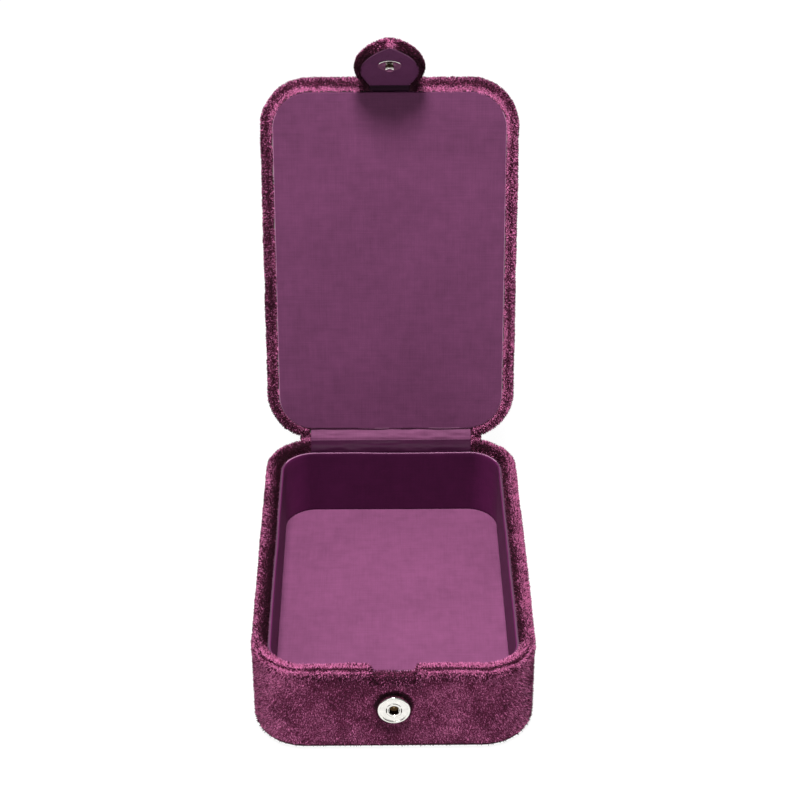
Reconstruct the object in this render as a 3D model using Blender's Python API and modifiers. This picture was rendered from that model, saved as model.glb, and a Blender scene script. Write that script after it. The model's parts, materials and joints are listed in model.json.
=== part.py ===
"""Velvet-covered jewelry box with a fabric-hinged lid and a snap-fastened tab.

Metres, +Z up. The origin is the centre of the underside. X runs across the box and +Y
towards the hinge. The lid and the tab are modelled lying shut in the frames of their
own empties, which hold the angle that the box is open at.
"""

import math

import bmesh
import bpy
from mathutils import Matrix, Vector

MM = 0.001

# Driving dimensions
WIDTH = 101.6 * MM
DEPTH = 151.0 * MM
BASE_HEIGHT = 37.4 * MM
LID_THICKNESS = 8.0 * MM
CORNER_RADIUS = 19.0 * MM
LID_OPEN = math.radians(100.9)
TAB_BEND = math.radians(55.0)

GAP = 0.3 * MM  # between neighbouring pieces
THIN_GAP = 0.1 * MM  # between a cloth and the card it is glued to
VELVET = 0.9 * MM
BOARD = 2.0 * MM
CLOTH = 0.3 * MM
CORNER_STEPS = 8

# Base
RIM_WIDTH = 4.4 * MM
RIM_RADIUS = RIM_WIDTH / 2
RIM_RETURN = 12.0 * MM  # how far the velvet runs down inside the rim
BOTTOM_ROUND = 2.4 * MM
SHEET_THICKNESS = 0.7 * MM
SHEET_INSET = 3.0 * MM
TURN_IN = 12.0 * MM  # velvet folded under the bottom
VELVET_LOW = SHEET_THICKNESS + GAP
BOARD_LOW = VELVET_LOW + VELVET + GAP
WALL_INSET = VELVET + GAP
WALL_TOP = BASE_HEIGHT - 2.0 * MM

# Tray inside the base
TRAY_DROP = 3.4 * MM  # from the rim down to the tray's edge
TRAY_INSET = 5.2 * MM
TRAY_CARD = 0.6 * MM
TRAY_LOW = BOARD_LOW + BOARD + GAP
TRAY_TOP = BASE_HEIGHT - TRAY_DROP
TRAY_TURN = 8.0 * MM  # cloth folded down outside the tray's edge
TRAY_INNER = TRAY_INSET + 2 * (CLOTH + THIN_GAP) + TRAY_CARD
FLOOR_CARD = 0.8 * MM
TRAY_DIP = 1.8 * MM  # in the tray's front edge, behind the notch
TRAY_DIP_HALF_WIDTH = 10.5 * MM

# Notch in the front rim, where the tab's strap passes
NOTCH_HALF_WIDTH = 8.2 * MM
NOTCH_DEPTH = 3.2 * MM
SADDLE_DEPTH = 1.1 * MM

# Snap socket on the front wall
SNAP_HEIGHT = 20.8 * MM
SOCKET_RADIUS = 5.9 * MM
SOCKET_FLOOR = 0.15 * MM  # stand-off from the velvet
SOCKET_FACE = 2.3 * MM
SOCKET_RIM = 2.6 * MM
SOCKET_RIM_ROLL = 0.45 * MM
SOCKET_BACK_ROUND = 0.4 * MM
SOCKET_SHEET = 0.3 * MM
SOCKET_DISH = 0.1 * MM  # how far the face lies under the lip's foot
SOCKET_BORE = 2.05 * MM
SOCKET_LIP = 0.15 * MM  # round the bore, over the face
SOCKET_LIP_WIDTH = 0.5 * MM
SOCKET_GROOVE = 0.7 * MM  # outwards from the bore, round the spring
SPRING_WIRE = 0.18 * MM
SPRING_LEVEL = 1.85 * MM
SPRING_ABOVE = 0.25 * MM  # room in the groove over the spring's centre
SPRING_BELOW = 0.3 * MM
SPRING_LOOP = 0.38 * MM  # outwards from the bore to the wire's round part
SPRING_BAR = 0.28 * MM  # inwards from the bore to its straight sides
SPRING_BAR_HALF = 1.0 * MM
SLIT_HALF_WIDTH = 0.18 * MM
SLIT_HALF_LENGTH = 0.95 * MM
SLIT_OUT = 0.35 * MM  # outwards from the bore
RIVET_BARREL = 1.3 * MM
RIVET_HOLE = 1.55 * MM
RIVET_HEAD = 1.7 * MM
RIVET_HEAD_LOW = 0.6 * MM
RIVET_HEAD_HIGH = 0.85 * MM
RIVET_FLANGE = 3.4 * MM
ROUND_STEPS = 40

# Lid, with distances along it measured from the hinge and heights from its inner face
BORDER = 4.0 * MM
LID_EDGE_ROUND = 2.5 * MM
LID_BOARD_INSET = 1.6 * MM
LID_BOARD_LOW = GAP + VELVET + 0.4 * MM
LINER_THICKNESS = 1.3 * MM
POCKET_DEPTH = 0.9 * MM  # recess in the board for the strap's and the ribbon's ends

# Ribbon over the hinge
RIBBON_HALF_WIDTH = 33.5 * MM
RIBBON = 0.4 * MM
RIBBON_CLEARANCE = 0.25 * MM  # over the rim
RIBBON_DROP = 16.0 * MM
RIBBON_TUCK = 11.0 * MM

# Tab
STRAP_HALF_WIDTH = 7.5 * MM
STRAP_TUCK = 18.0 * MM
STRAP_LENGTH = 6.0 * MM  # from the crease to where the stiff tab begins
STRAP_THICKNESS = 1.8 * MM
CREASE = (DEPTH - 1.5 * MM, -0.2 * MM)
TAB_PIVOT = (DEPTH + 4.5 * MM, -6.3 * MM)
TAB_FACE = -1.3 * MM  # height of the tab's inner face over its pivot
TAB_START = -1.0 * MM
TAB_STUD = 10.3 * MM
TAB_TIP = 27.6 * MM
TAB_THICKNESS = 2.8 * MM
TAB_WIDEST = 4.8 * MM
TAB_HALF_WIDTH = 12.8 * MM
TAB_ROOT_HALF_WIDTH = 11.2 * MM
TAB_LINER = 0.5 * MM
TAB_CORE = 0.9 * MM
STUD_BALL = 1.85 * MM
STUD_BALL_LEVEL = 1.8 * MM
STUD_TOP = 2.2 * MM
STUD_NECK = 1.1 * MM
STUD_NECK_LOW = 0.75 * MM
STUD_NECK_HIGH = 1.45 * MM
STUD_FLANGE = 4.8 * MM
STUD_FLANGE_LOW = 0.1 * MM
STUD_FLANGE_HIGH = 0.35 * MM
POST_RADIUS = 0.8 * MM
POST_FLANGE = 3.6 * MM
POST_SHEET = 0.17 * MM
STUD_HOLE = 1.0 * MM


def clear_scene():
    for obj in list(bpy.data.objects):
        bpy.data.objects.remove(obj, do_unlink=True)


def new_collection(name, hidden=False):
    group = bpy.data.collections.new(name)
    bpy.context.scene.collection.children.link(group)
    group.hide_render = hidden
    return group


def new_material(name, colour, roughness, metallic=0.0, sheen=0.0):
    made = bpy.data.materials.new(name)
    made.use_nodes = True
    shader = made.node_tree.nodes["Principled BSDF"]
    shader.inputs["Base Color"].default_value = (*colour, 1.0)
    shader.inputs["Roughness"].default_value = roughness
    shader.inputs["Metallic"].default_value = metallic
    shader.inputs["Sheen Weight"].default_value = sheen
    made.diffuse_color = (*colour, 1.0)
    return made


def new_empty(name, parent, location, bend):
    empty = bpy.data.objects.new(name, None)
    empty.location = location
    empty.rotation_euler.x = bend
    empty.parent = parent
    PARTS.objects.link(empty)
    return empty


def adopt(obj, name, colour=None, parent=None):
    """Names a finished object, gives it a material of its own and hangs it on its empty."""
    obj.name = name
    obj.data.name = name
    for group in list(obj.users_collection):
        group.objects.unlink(obj)
    (PARTS if colour else CUTTERS).objects.link(obj)
    obj.parent = parent
    if colour:
        obj.data.materials.clear()
        obj.data.materials.append(new_material(name, *colour))
    else:
        obj.hide_render = True
        obj.display_type = "WIRE"
    return obj


def mesh_of(curve, turn=Matrix()):
    """The curve's evaluated shape as a welded mesh object, turned into place."""
    graph = bpy.context.evaluated_depsgraph_get()
    mesh = bpy.data.meshes.new_from_object(curve.evaluated_get(graph))
    mesh.transform(turn)
    shape = bmesh.new()
    shape.from_mesh(mesh)
    bmesh.ops.remove_doubles(shape, verts=shape.verts, dist=0.002 * MM)
    bmesh.ops.recalc_face_normals(shape, faces=shape.faces)
    shape.to_mesh(mesh)
    shape.free()
    made = bpy.data.objects.new("shape", mesh)
    bpy.context.scene.collection.objects.link(made)
    bpy.data.objects.remove(curve)
    return made


def flat_curve(loops):
    data = bpy.data.curves.new("outline", "CURVE")
    data.dimensions = "2D"
    data.fill_mode = "BOTH"
    for points in loops:
        spline = data.splines.new("POLY")
        spline.points.add(len(points) - 1)
        for point, (x, y) in zip(spline.points, points):
            point.co = (x, y, 0.0, 1.0)
        spline.use_cyclic_u = True
    obj = bpy.data.objects.new("outline", data)
    bpy.context.scene.collection.objects.link(obj)
    return obj


def slab(loops, low, high, turn=Matrix()):
    """A flat outline, with holes from any further loops, made solid between two heights."""
    curve = flat_curve(loops)
    curve.data.extrude = (high - low) / 2
    return mesh_of(curve, turn @ Matrix.Translation((0, 0, (low + high) / 2)))


def box_outline(inset, centre=0.0):
    """The box's rounded rectangle, anticlockwise, drawn in by an inset."""
    radius = CORNER_RADIUS - inset
    reach_x = WIDTH / 2 - CORNER_RADIUS
    reach_y = DEPTH / 2 - CORNER_RADIUS
    points = []
    for corner, (side_x, side_y) in enumerate(((1, 1), (-1, 1), (-1, -1), (1, -1))):
        for step in range(CORNER_STEPS + 1):
            angle = math.pi / 2 * (corner + step / CORNER_STEPS)
            x = side_x * reach_x + radius * math.cos(angle)
            y = side_y * reach_y + radius * math.sin(angle)
            points.append((x, y + centre))
    return points


def lid_outline(inset):
    return box_outline(inset, -DEPTH / 2)


def arc(centre, radius, start, end, steps):
    """Points on an arc in a section, with angles in degrees from the section's first axis."""
    angles = [math.radians(start + (end - start) * step / steps) for step in range(steps + 1)]
    return [(centre[0] + radius * math.cos(a), centre[1] + radius * math.sin(a)) for a in angles]


def swept_wall(section):
    """A closed section of (inset, height) points carried round the box's outline."""
    guide = flat_curve([[(inset, height) for inset, height in section]])
    guide.data.fill_mode = "NONE"
    path = flat_curve([box_outline(0.0)])
    path.data.fill_mode = "NONE"
    path.data.bevel_mode = "OBJECT"
    path.data.bevel_object = guide
    made = mesh_of(path)
    bpy.data.objects.remove(guide)
    return made


def side_prism(points, half_width):
    """An outline in the lid's side view, as (distance from the hinge, height), across X."""
    turn = Matrix(((0, 0, 1, 0), (-1, 0, 0, 0), (0, 1, 0, 0), (0, 0, 0, 1)))
    return slab([points], -half_width, half_width, turn)


def block(low, high):
    bpy.ops.mesh.primitive_cube_add(size=1)
    made = bpy.context.active_object
    low, high = Vector(low), Vector(high)
    made.data.transform(Matrix.Translation((low + high) / 2) @ Matrix.Diagonal((*(high - low), 1)))
    return made


def turned(profile, place, closed_ring=True):
    """A profile of (radius, height) points, outer side running down, screwed about Z."""
    mesh = bpy.data.meshes.new("profile")
    edges = [(i, i + 1) for i in range(len(profile) - 1)]
    if closed_ring:
        edges.append((len(profile) - 1, 0))
    mesh.from_pydata([(radius, 0.0, height) for radius, height in profile], edges, [])
    obj = bpy.data.objects.new("turned", mesh)
    bpy.context.scene.collection.objects.link(obj)
    screw = obj.modifiers.new("Turn", "SCREW")
    screw.steps = ROUND_STEPS
    screw.render_steps = ROUND_STEPS
    screw.use_merge_vertices = True
    screw.merge_threshold = 0.01 * MM
    made = mesh_of(obj, place)
    for polygon in made.data.polygons:
        polygon.use_smooth = True
    return made


def round_edges(obj, width, segments=3):
    bevel = obj.modifiers.new("Rounding", "BEVEL")
    bevel.width = width
    bevel.segments = segments
    bevel.limit_method = "ANGLE"
    bevel.angle_limit = math.radians(50)


def boolean(obj, other, operation="DIFFERENCE"):
    change = obj.modifiers.new(other.name, "BOOLEAN")
    change.operation = operation
    change.object = other
    change.solver = "EXACT"


def cutter(name, shape, parent=None):
    return adopt(shape, name, parent=parent)


VELVET_LOOK = ((0.13, 0.018, 0.055), 0.85, 0.0, 0.8)
CLOTH_LOOK = ((0.22, 0.075, 0.16), 0.8)
CARD_LOOK = ((0.42, 0.40, 0.37), 0.9)
FOAM_LOOK = ((0.85, 0.84, 0.80), 0.95)
PAPER_LOOK = ((0.05, 0.02, 0.035), 0.9)
STEEL_LOOK = ((0.80, 0.79, 0.76), 0.18, 1.0)
BRASS_LOOK = ((0.62, 0.45, 0.22), 0.3, 1.0)


def make_base():
    make_base_velvet()
    walls = slab([box_outline(WALL_INSET), box_outline(WALL_INSET + BOARD)], BOARD_LOW, WALL_TOP)
    adopt(walls, "base_wall_board", CARD_LOOK)
    notch = block(
        (-NOTCH_HALF_WIDTH - GAP, -DEPTH / 2 - MM, BASE_HEIGHT - NOTCH_DEPTH - SADDLE_DEPTH - GAP),
        (NOTCH_HALF_WIDTH + GAP, -DEPTH / 2 + RIM_WIDTH + MM, BASE_HEIGHT + MM),
    )
    boolean(walls, cutter("wall_notch", notch))
    boolean(walls, bpy.data.objects["rivet_hole"])
    bottom = slab([box_outline(WALL_INSET + BOARD + GAP)], BOARD_LOW, BOARD_LOW + BOARD)
    adopt(bottom, "base_bottom_board", CARD_LOOK)
    sheet = slab([box_outline(SHEET_INSET)], 0.0, SHEET_THICKNESS)
    adopt(sheet, "base_underside_sheet", PAPER_LOOK)


def make_base_velvet():
    """One wrap: under the bottom's edge, up the wall, over the rim and down inside it."""
    centre = (RIM_RADIUS, BASE_HEIGHT - RIM_RADIUS)
    rim_low = BASE_HEIGHT - RIM_RETURN
    low = VELVET_LOW
    outer_turn = (BOTTOM_ROUND, low + BOTTOM_ROUND)
    section = [(TURN_IN, low)]
    section += arc(outer_turn, BOTTOM_ROUND, 270, 180, 4)
    section += arc(centre, RIM_RADIUS, 180, 0, 8)
    section += [(RIM_WIDTH, rim_low), (RIM_WIDTH - VELVET, rim_low)]
    section += arc(centre, RIM_RADIUS - VELVET, 0, 180, 6)
    section += arc((VELVET + MM, low + VELVET + MM), MM, 180, 270, 2)
    section += [(TURN_IN, low + VELVET)]
    velvet = adopt(swept_wall(section), "base_velvet_cover", VELVET_LOOK)

    front = -DEPTH / 2
    notch_floor = BASE_HEIGHT - NOTCH_DEPTH
    notch = block(
        (-NOTCH_HALF_WIDTH, front - MM, notch_floor - SADDLE_DEPTH / 2),
        (NOTCH_HALF_WIDTH, front + RIM_WIDTH + MM, BASE_HEIGHT + MM),
    )
    boolean(velvet, cutter("rim_notch", notch))
    saddle = block(
        (-NOTCH_HALF_WIDTH - GAP, front + VELVET / 2, notch_floor - SADDLE_DEPTH),
        (NOTCH_HALF_WIDTH + GAP, front + RIM_WIDTH - VELVET / 2, notch_floor),
    )
    boolean(velvet, cutter("rim_saddle", saddle), "UNION")
    hole = turned(
        [(0.0, 6 * MM), (RIVET_HOLE, 6 * MM), (RIVET_HOLE, -4 * MM), (0.0, -4 * MM)],
        front_place(),
        closed_ring=False,
    )
    boolean(velvet, cutter("rivet_hole", hole))


def make_tray():
    top_card = TRAY_TOP - CLOTH - THIN_GAP
    card_outer = TRAY_INSET + CLOTH + THIN_GAP
    front = -DEPTH / 2
    dip_floor = TRAY_TOP - TRAY_DIP
    card = slab([box_outline(card_outer), box_outline(card_outer + TRAY_CARD)], TRAY_LOW, top_card)
    adopt(card, "tray_wall_card", CARD_LOOK)
    card_dip = block(
        (-TRAY_DIP_HALF_WIDTH - 2 * GAP, front + TRAY_INSET, dip_floor - CLOTH - THIN_GAP),
        (TRAY_DIP_HALF_WIDTH + 2 * GAP, front + TRAY_INNER + MM, TRAY_TOP + MM),
    )
    boolean(card, cutter("card_dip", card_dip))

    cover = [
        (TRAY_INSET, TRAY_TOP),
        (TRAY_INNER, TRAY_TOP),
        (TRAY_INNER, TRAY_LOW),
        (TRAY_INNER - CLOTH, TRAY_LOW),
        (TRAY_INNER - CLOTH, TRAY_TOP - CLOTH),
        (TRAY_INSET + CLOTH, TRAY_TOP - CLOTH),
        (TRAY_INSET + CLOTH, TRAY_TOP - TRAY_TURN),
        (TRAY_INSET, TRAY_TOP - TRAY_TURN),
    ]
    walls = adopt(swept_wall(cover), "tray_wall_cloth", CLOTH_LOOK)
    dip = block(
        (-TRAY_DIP_HALF_WIDTH, front + TRAY_INSET - MM, dip_floor - CLOTH / 2),
        (TRAY_DIP_HALF_WIDTH, front + TRAY_INNER + MM, TRAY_TOP + MM),
    )
    boolean(walls, cutter("tray_dip", dip))
    saddle = block(
        (-TRAY_DIP_HALF_WIDTH - GAP, front + TRAY_INSET + CLOTH / 2, dip_floor - CLOTH),
        (TRAY_DIP_HALF_WIDTH + GAP, front + TRAY_INNER - CLOTH / 2, dip_floor),
    )
    boolean(walls, cutter("dip_saddle", saddle), "UNION")

    floor_inset = TRAY_INNER + GAP
    inner_inset = floor_inset + CLOTH + THIN_GAP
    card_top = TRAY_LOW + FLOOR_CARD
    cloth_top = card_top + THIN_GAP + CLOTH
    adopt(slab([box_outline(inner_inset)], TRAY_LOW, card_top), "tray_floor_card", CARD_LOOK)
    cloth = adopt(slab([box_outline(floor_inset)], TRAY_LOW, cloth_top), "tray_floor_cloth", CLOTH_LOOK)
    hollow = slab([box_outline(floor_inset + CLOTH)], TRAY_LOW - MM, card_top + THIN_GAP)
    boolean(cloth, cutter("floor_hollow", hollow))


def front_place(level=0.0):
    """Turns a shape's Z axis to point out of the front wall at the snap's centre."""
    spot = Matrix.Translation((0, -DEPTH / 2 - level, SNAP_HEIGHT))
    return spot @ Matrix.Rotation(math.radians(90), 4, "X")


def make_snap_socket():
    groove = SOCKET_BORE + SOCKET_GROOVE
    groove_low = SOCKET_FLOOR + SOCKET_SHEET
    groove_high = SPRING_LEVEL + SPRING_ABOVE
    lip = SOCKET_FACE + SOCKET_LIP
    face = SOCKET_FACE - SOCKET_DISH
    roll = SOCKET_RIM_ROLL
    profile = [
        (SOCKET_BORE, lip),
        (SOCKET_BORE + SOCKET_LIP_WIDTH, lip),
        (SOCKET_BORE + SOCKET_LIP_WIDTH + SOCKET_DISH, face),
        (SOCKET_RADIUS - 2 * roll, face),
    ]
    profile += arc((SOCKET_RADIUS - roll, SOCKET_RIM - roll), roll, 120, 0, 4)
    profile += [
        (SOCKET_RADIUS, SOCKET_FLOOR + SOCKET_BACK_ROUND),
        (SOCKET_RADIUS - SOCKET_BACK_ROUND, SOCKET_FLOOR),
        (RIVET_HOLE, SOCKET_FLOOR),
        (RIVET_HOLE, groove_low),
        (groove, groove_low),
        (groove, groove_high),
        (SOCKET_BORE, groove_high),
    ]
    socket = adopt(turned(profile, front_place()), "snap_socket", STEEL_LOOK)
    for side in (-1, 1):
        slit = block(
            (-SLIT_HALF_WIDTH, -SLIT_HALF_LENGTH, SPRING_LEVEL - SPRING_BELOW),
            (SLIT_HALF_WIDTH, SLIT_HALF_LENGTH, SOCKET_RIM),
        )
        beside = Matrix.Translation((side * (SOCKET_BORE + SLIT_OUT), 0, 0))
        slit.data.transform(front_place() @ beside)
        boolean(socket, cutter("spring_slit_left" if side < 0 else "spring_slit_right", slit))

    behind = -WALL_INSET - BOARD - GAP
    rivet = [
        (0.0, RIVET_HEAD_HIGH),
        (RIVET_HEAD / 2, RIVET_HEAD_HIGH),
        (RIVET_HEAD, (RIVET_HEAD_LOW + RIVET_HEAD_HIGH) / 2),
        (RIVET_HEAD, RIVET_HEAD_LOW),
        (RIVET_BARREL, RIVET_HEAD_LOW),
        (RIVET_BARREL, behind),
        (RIVET_FLANGE, behind),
        (RIVET_FLANGE, behind - GAP),
        (0.0, behind - GAP),
    ]
    adopt(turned(rivet, front_place(), closed_ring=False), "socket_rivet", BRASS_LOOK)
    make_socket_spring()


def make_socket_spring():
    """A wire bent round the stud's hole, with a straight side on its left and right."""
    bar = SOCKET_BORE - SPRING_BAR
    points = [(-bar, -SPRING_BAR_HALF), (-bar, SPRING_BAR_HALF)]
    points += arc((0.0, 0.0), SOCKET_BORE + SPRING_LOOP, 135, 45, 4)
    points += [(bar, SPRING_BAR_HALF), (bar, -SPRING_BAR_HALF)]
    data = bpy.data.curves.new("socket_spring", "CURVE")
    data.dimensions = "3D"
    data.bevel_depth = SPRING_WIRE
    data.bevel_resolution = 1
    data.use_fill_caps = True
    spline = data.splines.new("POLY")
    spline.points.add(len(points) - 1)
    for point, (x, y) in zip(spline.points, points):
        point.co = (x, y, SPRING_LEVEL, 1.0)
    wire = bpy.data.objects.new("socket_spring", data)
    bpy.context.scene.collection.objects.link(wire)
    adopt(mesh_of(wire, front_place()), "socket_spring", STEEL_LOOK)


def make_lid(hinge):
    pocket_top = LID_BOARD_LOW + POCKET_DEPTH
    velvet = slab([lid_outline(0.0)], GAP, LID_THICKNESS)
    adopt(velvet, "lid_velvet_cover", VELVET_LOOK, hinge)
    round_edges(velvet, LID_EDGE_ROUND, 4)
    hollow = slab([lid_outline(VELVET)], GAP + VELVET, LID_THICKNESS - VELVET)
    round_edges(hollow, LID_EDGE_ROUND / 2, 2)
    boolean(velvet, cutter("lid_hollow", hollow, hinge))
    window = slab([lid_outline(BORDER)], -MM, GAP + VELVET + MM)
    boolean(velvet, cutter("lid_window", window, hinge))

    strap_slot = block(
        (-STRAP_HALF_WIDTH - GAP, -DEPTH - MM, -MM),
        (STRAP_HALF_WIDTH + GAP, -DEPTH + BORDER + MM, GAP + VELVET + 0.2 * MM),
    )
    boolean(velvet, cutter("strap_slot", strap_slot, hinge))
    ribbon_slot = block(
        (-RIBBON_HALF_WIDTH - GAP, -BORDER - MM, -MM),
        (RIBBON_HALF_WIDTH + GAP, -VELVET, GAP + VELVET + 0.2 * MM),
    )
    boolean(velvet, cutter("ribbon_slot", ribbon_slot, hinge))

    board = slab([lid_outline(LID_BOARD_INSET)], LID_BOARD_LOW, LID_BOARD_LOW + BOARD)
    adopt(board, "lid_board", CARD_LOOK, hinge)
    strap_pocket = block(
        (-STRAP_HALF_WIDTH - GAP, -DEPTH - MM, -MM),
        (STRAP_HALF_WIDTH + GAP, -DEPTH + STRAP_TUCK + GAP, pocket_top),
    )
    boolean(board, cutter("strap_pocket", strap_pocket, hinge))
    ribbon_pocket = block(
        (-RIBBON_HALF_WIDTH - GAP, -RIBBON_TUCK - GAP, -MM),
        (RIBBON_HALF_WIDTH + GAP, MM, pocket_top),
    )
    boolean(board, cutter("ribbon_pocket", ribbon_pocket, hinge))

    padding_low = LID_BOARD_LOW + BOARD + GAP
    padding = slab([lid_outline(VELVET + 0.5 * MM)], padding_low, LID_THICKNESS - VELVET - GAP)
    adopt(padding, "lid_padding", FOAM_LOOK, hinge)
    round_edges(padding, LID_EDGE_ROUND / 2, 2)
    make_lid_liner(hinge)


def make_lid_liner(hinge):
    cloth_inset = BORDER + GAP
    cloth = slab([lid_outline(cloth_inset)], 0.0, LINER_THICKNESS)
    adopt(cloth, "lid_liner_cloth", CLOTH_LOOK, hinge)
    hollow = slab([lid_outline(cloth_inset + CLOTH)], CLOTH, LINER_THICKNESS + MM)
    boolean(cloth, cutter("liner_hollow", hollow, hinge))
    card_low = CLOTH + THIN_GAP
    card = slab([lid_outline(cloth_inset + CLOTH + THIN_GAP)], card_low, LINER_THICKNESS)
    adopt(card, "lid_liner_card", CARD_LOOK, hinge)


def make_ribbon(hinge):
    """One ribbon, in two solids that part at the fold so that each follows its own side."""
    inner = RIM_RADIUS + RIBBON_CLEARANCE
    centre = (RIM_RADIUS, BASE_HEIGHT - RIM_RADIUS)
    outside = arc(centre, inner + RIBBON, 110, 0, 6)
    inside = arc(centre, inner, 0, 110, 6)
    low = BASE_HEIGHT - RIBBON_DROP
    section = outside + [(outside[-1][0], low), (inside[0][0], low)] + inside
    turn = Matrix(((0, 0, 1, 0), (-1, 0, 0, DEPTH / 2), (0, 1, 0, 0), (0, 0, 0, 1)))
    strip = slab([section], -RIBBON_HALF_WIDTH, RIBBON_HALF_WIDTH, turn)
    adopt(strip, "hinge_ribbon_base_end", CLOTH_LOOK)

    over = 0.9 * MM
    under = LINER_THICKNESS + 0.4 * MM
    step = BORDER - GAP
    section = [
        (MM, over),
        (step + RIBBON / 2, over),
        (step + RIBBON / 2, under),
        (RIBBON_TUCK, under),
        (RIBBON_TUCK, under + RIBBON),
        (step - RIBBON / 2, under + RIBBON),
        (step - RIBBON / 2, over + RIBBON),
        (MM, over + RIBBON),
    ]
    strip = side_prism(section, RIBBON_HALF_WIDTH)
    adopt(strip, "hinge_ribbon_lid_end", CLOTH_LOOK, hinge)


def along_strap(distance, height):
    """A point in the lid's side view, measured along the bent strap from its crease."""
    s = CREASE[0] + distance * math.cos(TAB_BEND) + height * math.sin(TAB_BEND)
    t = CREASE[1] - distance * math.sin(TAB_BEND) + height * math.cos(TAB_BEND)
    return s, t


def make_strap(hinge):
    """The strap from its glued end under the liner, over the border and past the crease."""
    tongue_low = LINER_THICKNESS + 0.4 * MM
    tongue_high = tongue_low + 0.5 * MM
    edge = DEPTH - BORDER
    section = [
        (DEPTH - STRAP_TUCK, tongue_low),
        (edge, tongue_low),
        (edge, GAP),
        (CREASE[0], GAP),
        along_strap(0.3 * MM, 0.0),
        along_strap(STRAP_LENGTH, 0.0),
        along_strap(STRAP_LENGTH, STRAP_THICKNESS),
        along_strap(0.0, STRAP_THICKNESS),
        (DEPTH - 1.0 * MM, GAP + VELVET),
        (edge + 0.6 * MM, GAP + VELVET),
        (edge + 0.6 * MM, tongue_high),
        (DEPTH - STRAP_TUCK, tongue_high),
    ]
    adopt(side_prism(section, STRAP_HALF_WIDTH), "tab_strap", VELVET_LOOK, hinge)


def tab_outline(inset):
    """The tab's spade: straight flare, a round shoulder and a pointed tip, drawn in by an inset."""
    start = TAB_START
    tip = TAB_TIP - inset * 1.35
    root = TAB_ROOT_HALF_WIDTH - inset
    wide = TAB_HALF_WIDTH - inset
    span = tip - TAB_WIDEST
    half = [(root, start), (wide - 0.25 * MM, TAB_WIDEST - 2.2 * MM)]
    for step in range(13):
        angle = math.pi / 2 * step / 12
        fullness = 1.0 - 0.12 * math.sin(2 * angle) * math.sin(angle)
        half.append((wide * math.cos(angle) * fullness, TAB_WIDEST + span * math.sin(angle) ** 1.25))
    half[-1] = (0.0, tip)
    mirrored = [(-x, u) for x, u in reversed(half[:-1])]
    return [(x, -u) for x, u in half + mirrored]


def make_tab(fold):
    face = TAB_FACE
    back = face + TAB_THICKNESS
    velvet = slab([tab_outline(0.0)], face + 0.3 * MM, back)
    adopt(velvet, "tab_velvet", VELVET_LOOK, fold)
    round_edges(velvet, 0.7 * MM, 2)
    hollow = slab([tab_outline(0.9 * MM)], face - MM, back - VELVET)
    boolean(velvet, cutter("tab_hollow", hollow, fold))

    liner_inset = 0.9 * MM + GAP
    liner = slab([tab_outline(liner_inset)], face, face + TAB_LINER)
    adopt(liner, "tab_liner", CLOTH_LOOK, fold)
    core_low = face + TAB_LINER + THIN_GAP
    core = slab([tab_outline(liner_inset)], core_low, core_low + TAB_CORE)
    adopt(core, "tab_core", CARD_LOOK, fold)
    hole = turned(
        [(0.0, 2 * MM), (STUD_HOLE, 2 * MM), (STUD_HOLE, -2 * MM), (0.0, -2 * MM)],
        stud_place(0.0),
        closed_ring=False,
    )
    hole = cutter("stud_hole", hole, fold)
    boolean(liner, hole)
    boolean(core, hole)
    make_stud(fold)


def stud_place(level):
    """Turns a shape's Z axis to point out of the tab's inner face at the stud."""
    spot = Matrix.Translation((0, -TAB_STUD, TAB_FACE - level))
    return spot @ Matrix.Rotation(math.radians(180), 4, "X")


def make_stud(fold):
    halfway = (STUD_NECK_HIGH + STUD_BALL_LEVEL) / 2
    profile = [
        (0.0, STUD_TOP),
        (STUD_NECK, STUD_TOP - 0.08 * MM),
        (STUD_BALL - 0.15 * MM, (STUD_TOP + STUD_BALL_LEVEL) / 2),
        (STUD_BALL, STUD_BALL_LEVEL),
        (STUD_BALL - 0.25 * MM, halfway),
        (STUD_NECK, STUD_NECK_HIGH),
        (STUD_NECK, STUD_NECK_LOW),
        (STUD_FLANGE * 0.8, (STUD_NECK_LOW + STUD_FLANGE_HIGH) / 2),
        (STUD_FLANGE, STUD_FLANGE_HIGH),
        (STUD_FLANGE, STUD_FLANGE_LOW),
        (0.0, STUD_FLANGE_LOW),
    ]
    adopt(turned(profile, stud_place(0.0), closed_ring=False), "snap_stud", STEEL_LOOK, fold)
    behind = -TAB_LINER - THIN_GAP - TAB_CORE - 0.08 * MM
    post = [
        (0.0, 0.0),
        (POST_RADIUS, 0.0),
        (POST_RADIUS, behind),
        (POST_FLANGE, behind),
        (POST_FLANGE, behind - POST_SHEET),
        (0.0, behind - POST_SHEET),
    ]
    adopt(turned(post, stud_place(0.0), closed_ring=False), "stud_post", STEEL_LOOK, fold)


clear_scene()
PARTS = new_collection("jewelry_box")
CUTTERS = new_collection("cutters", hidden=True)

lid_hinge = new_empty("lid_hinge", None, (0, DEPTH / 2, BASE_HEIGHT), -LID_OPEN)
tab_fold = new_empty("tab_fold", lid_hinge, (0, -TAB_PIVOT[0], TAB_PIVOT[1]), TAB_BEND)

make_base()
make_tray()
make_snap_socket()
make_lid(lid_hinge)
make_ribbon(lid_hinge)
make_strap(lid_hinge)
make_tab(tab_fold)
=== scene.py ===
import itertools
import json
import math

import bmesh
import bpy
import numpy as np
from mathutils import Matrix, Vector


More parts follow.
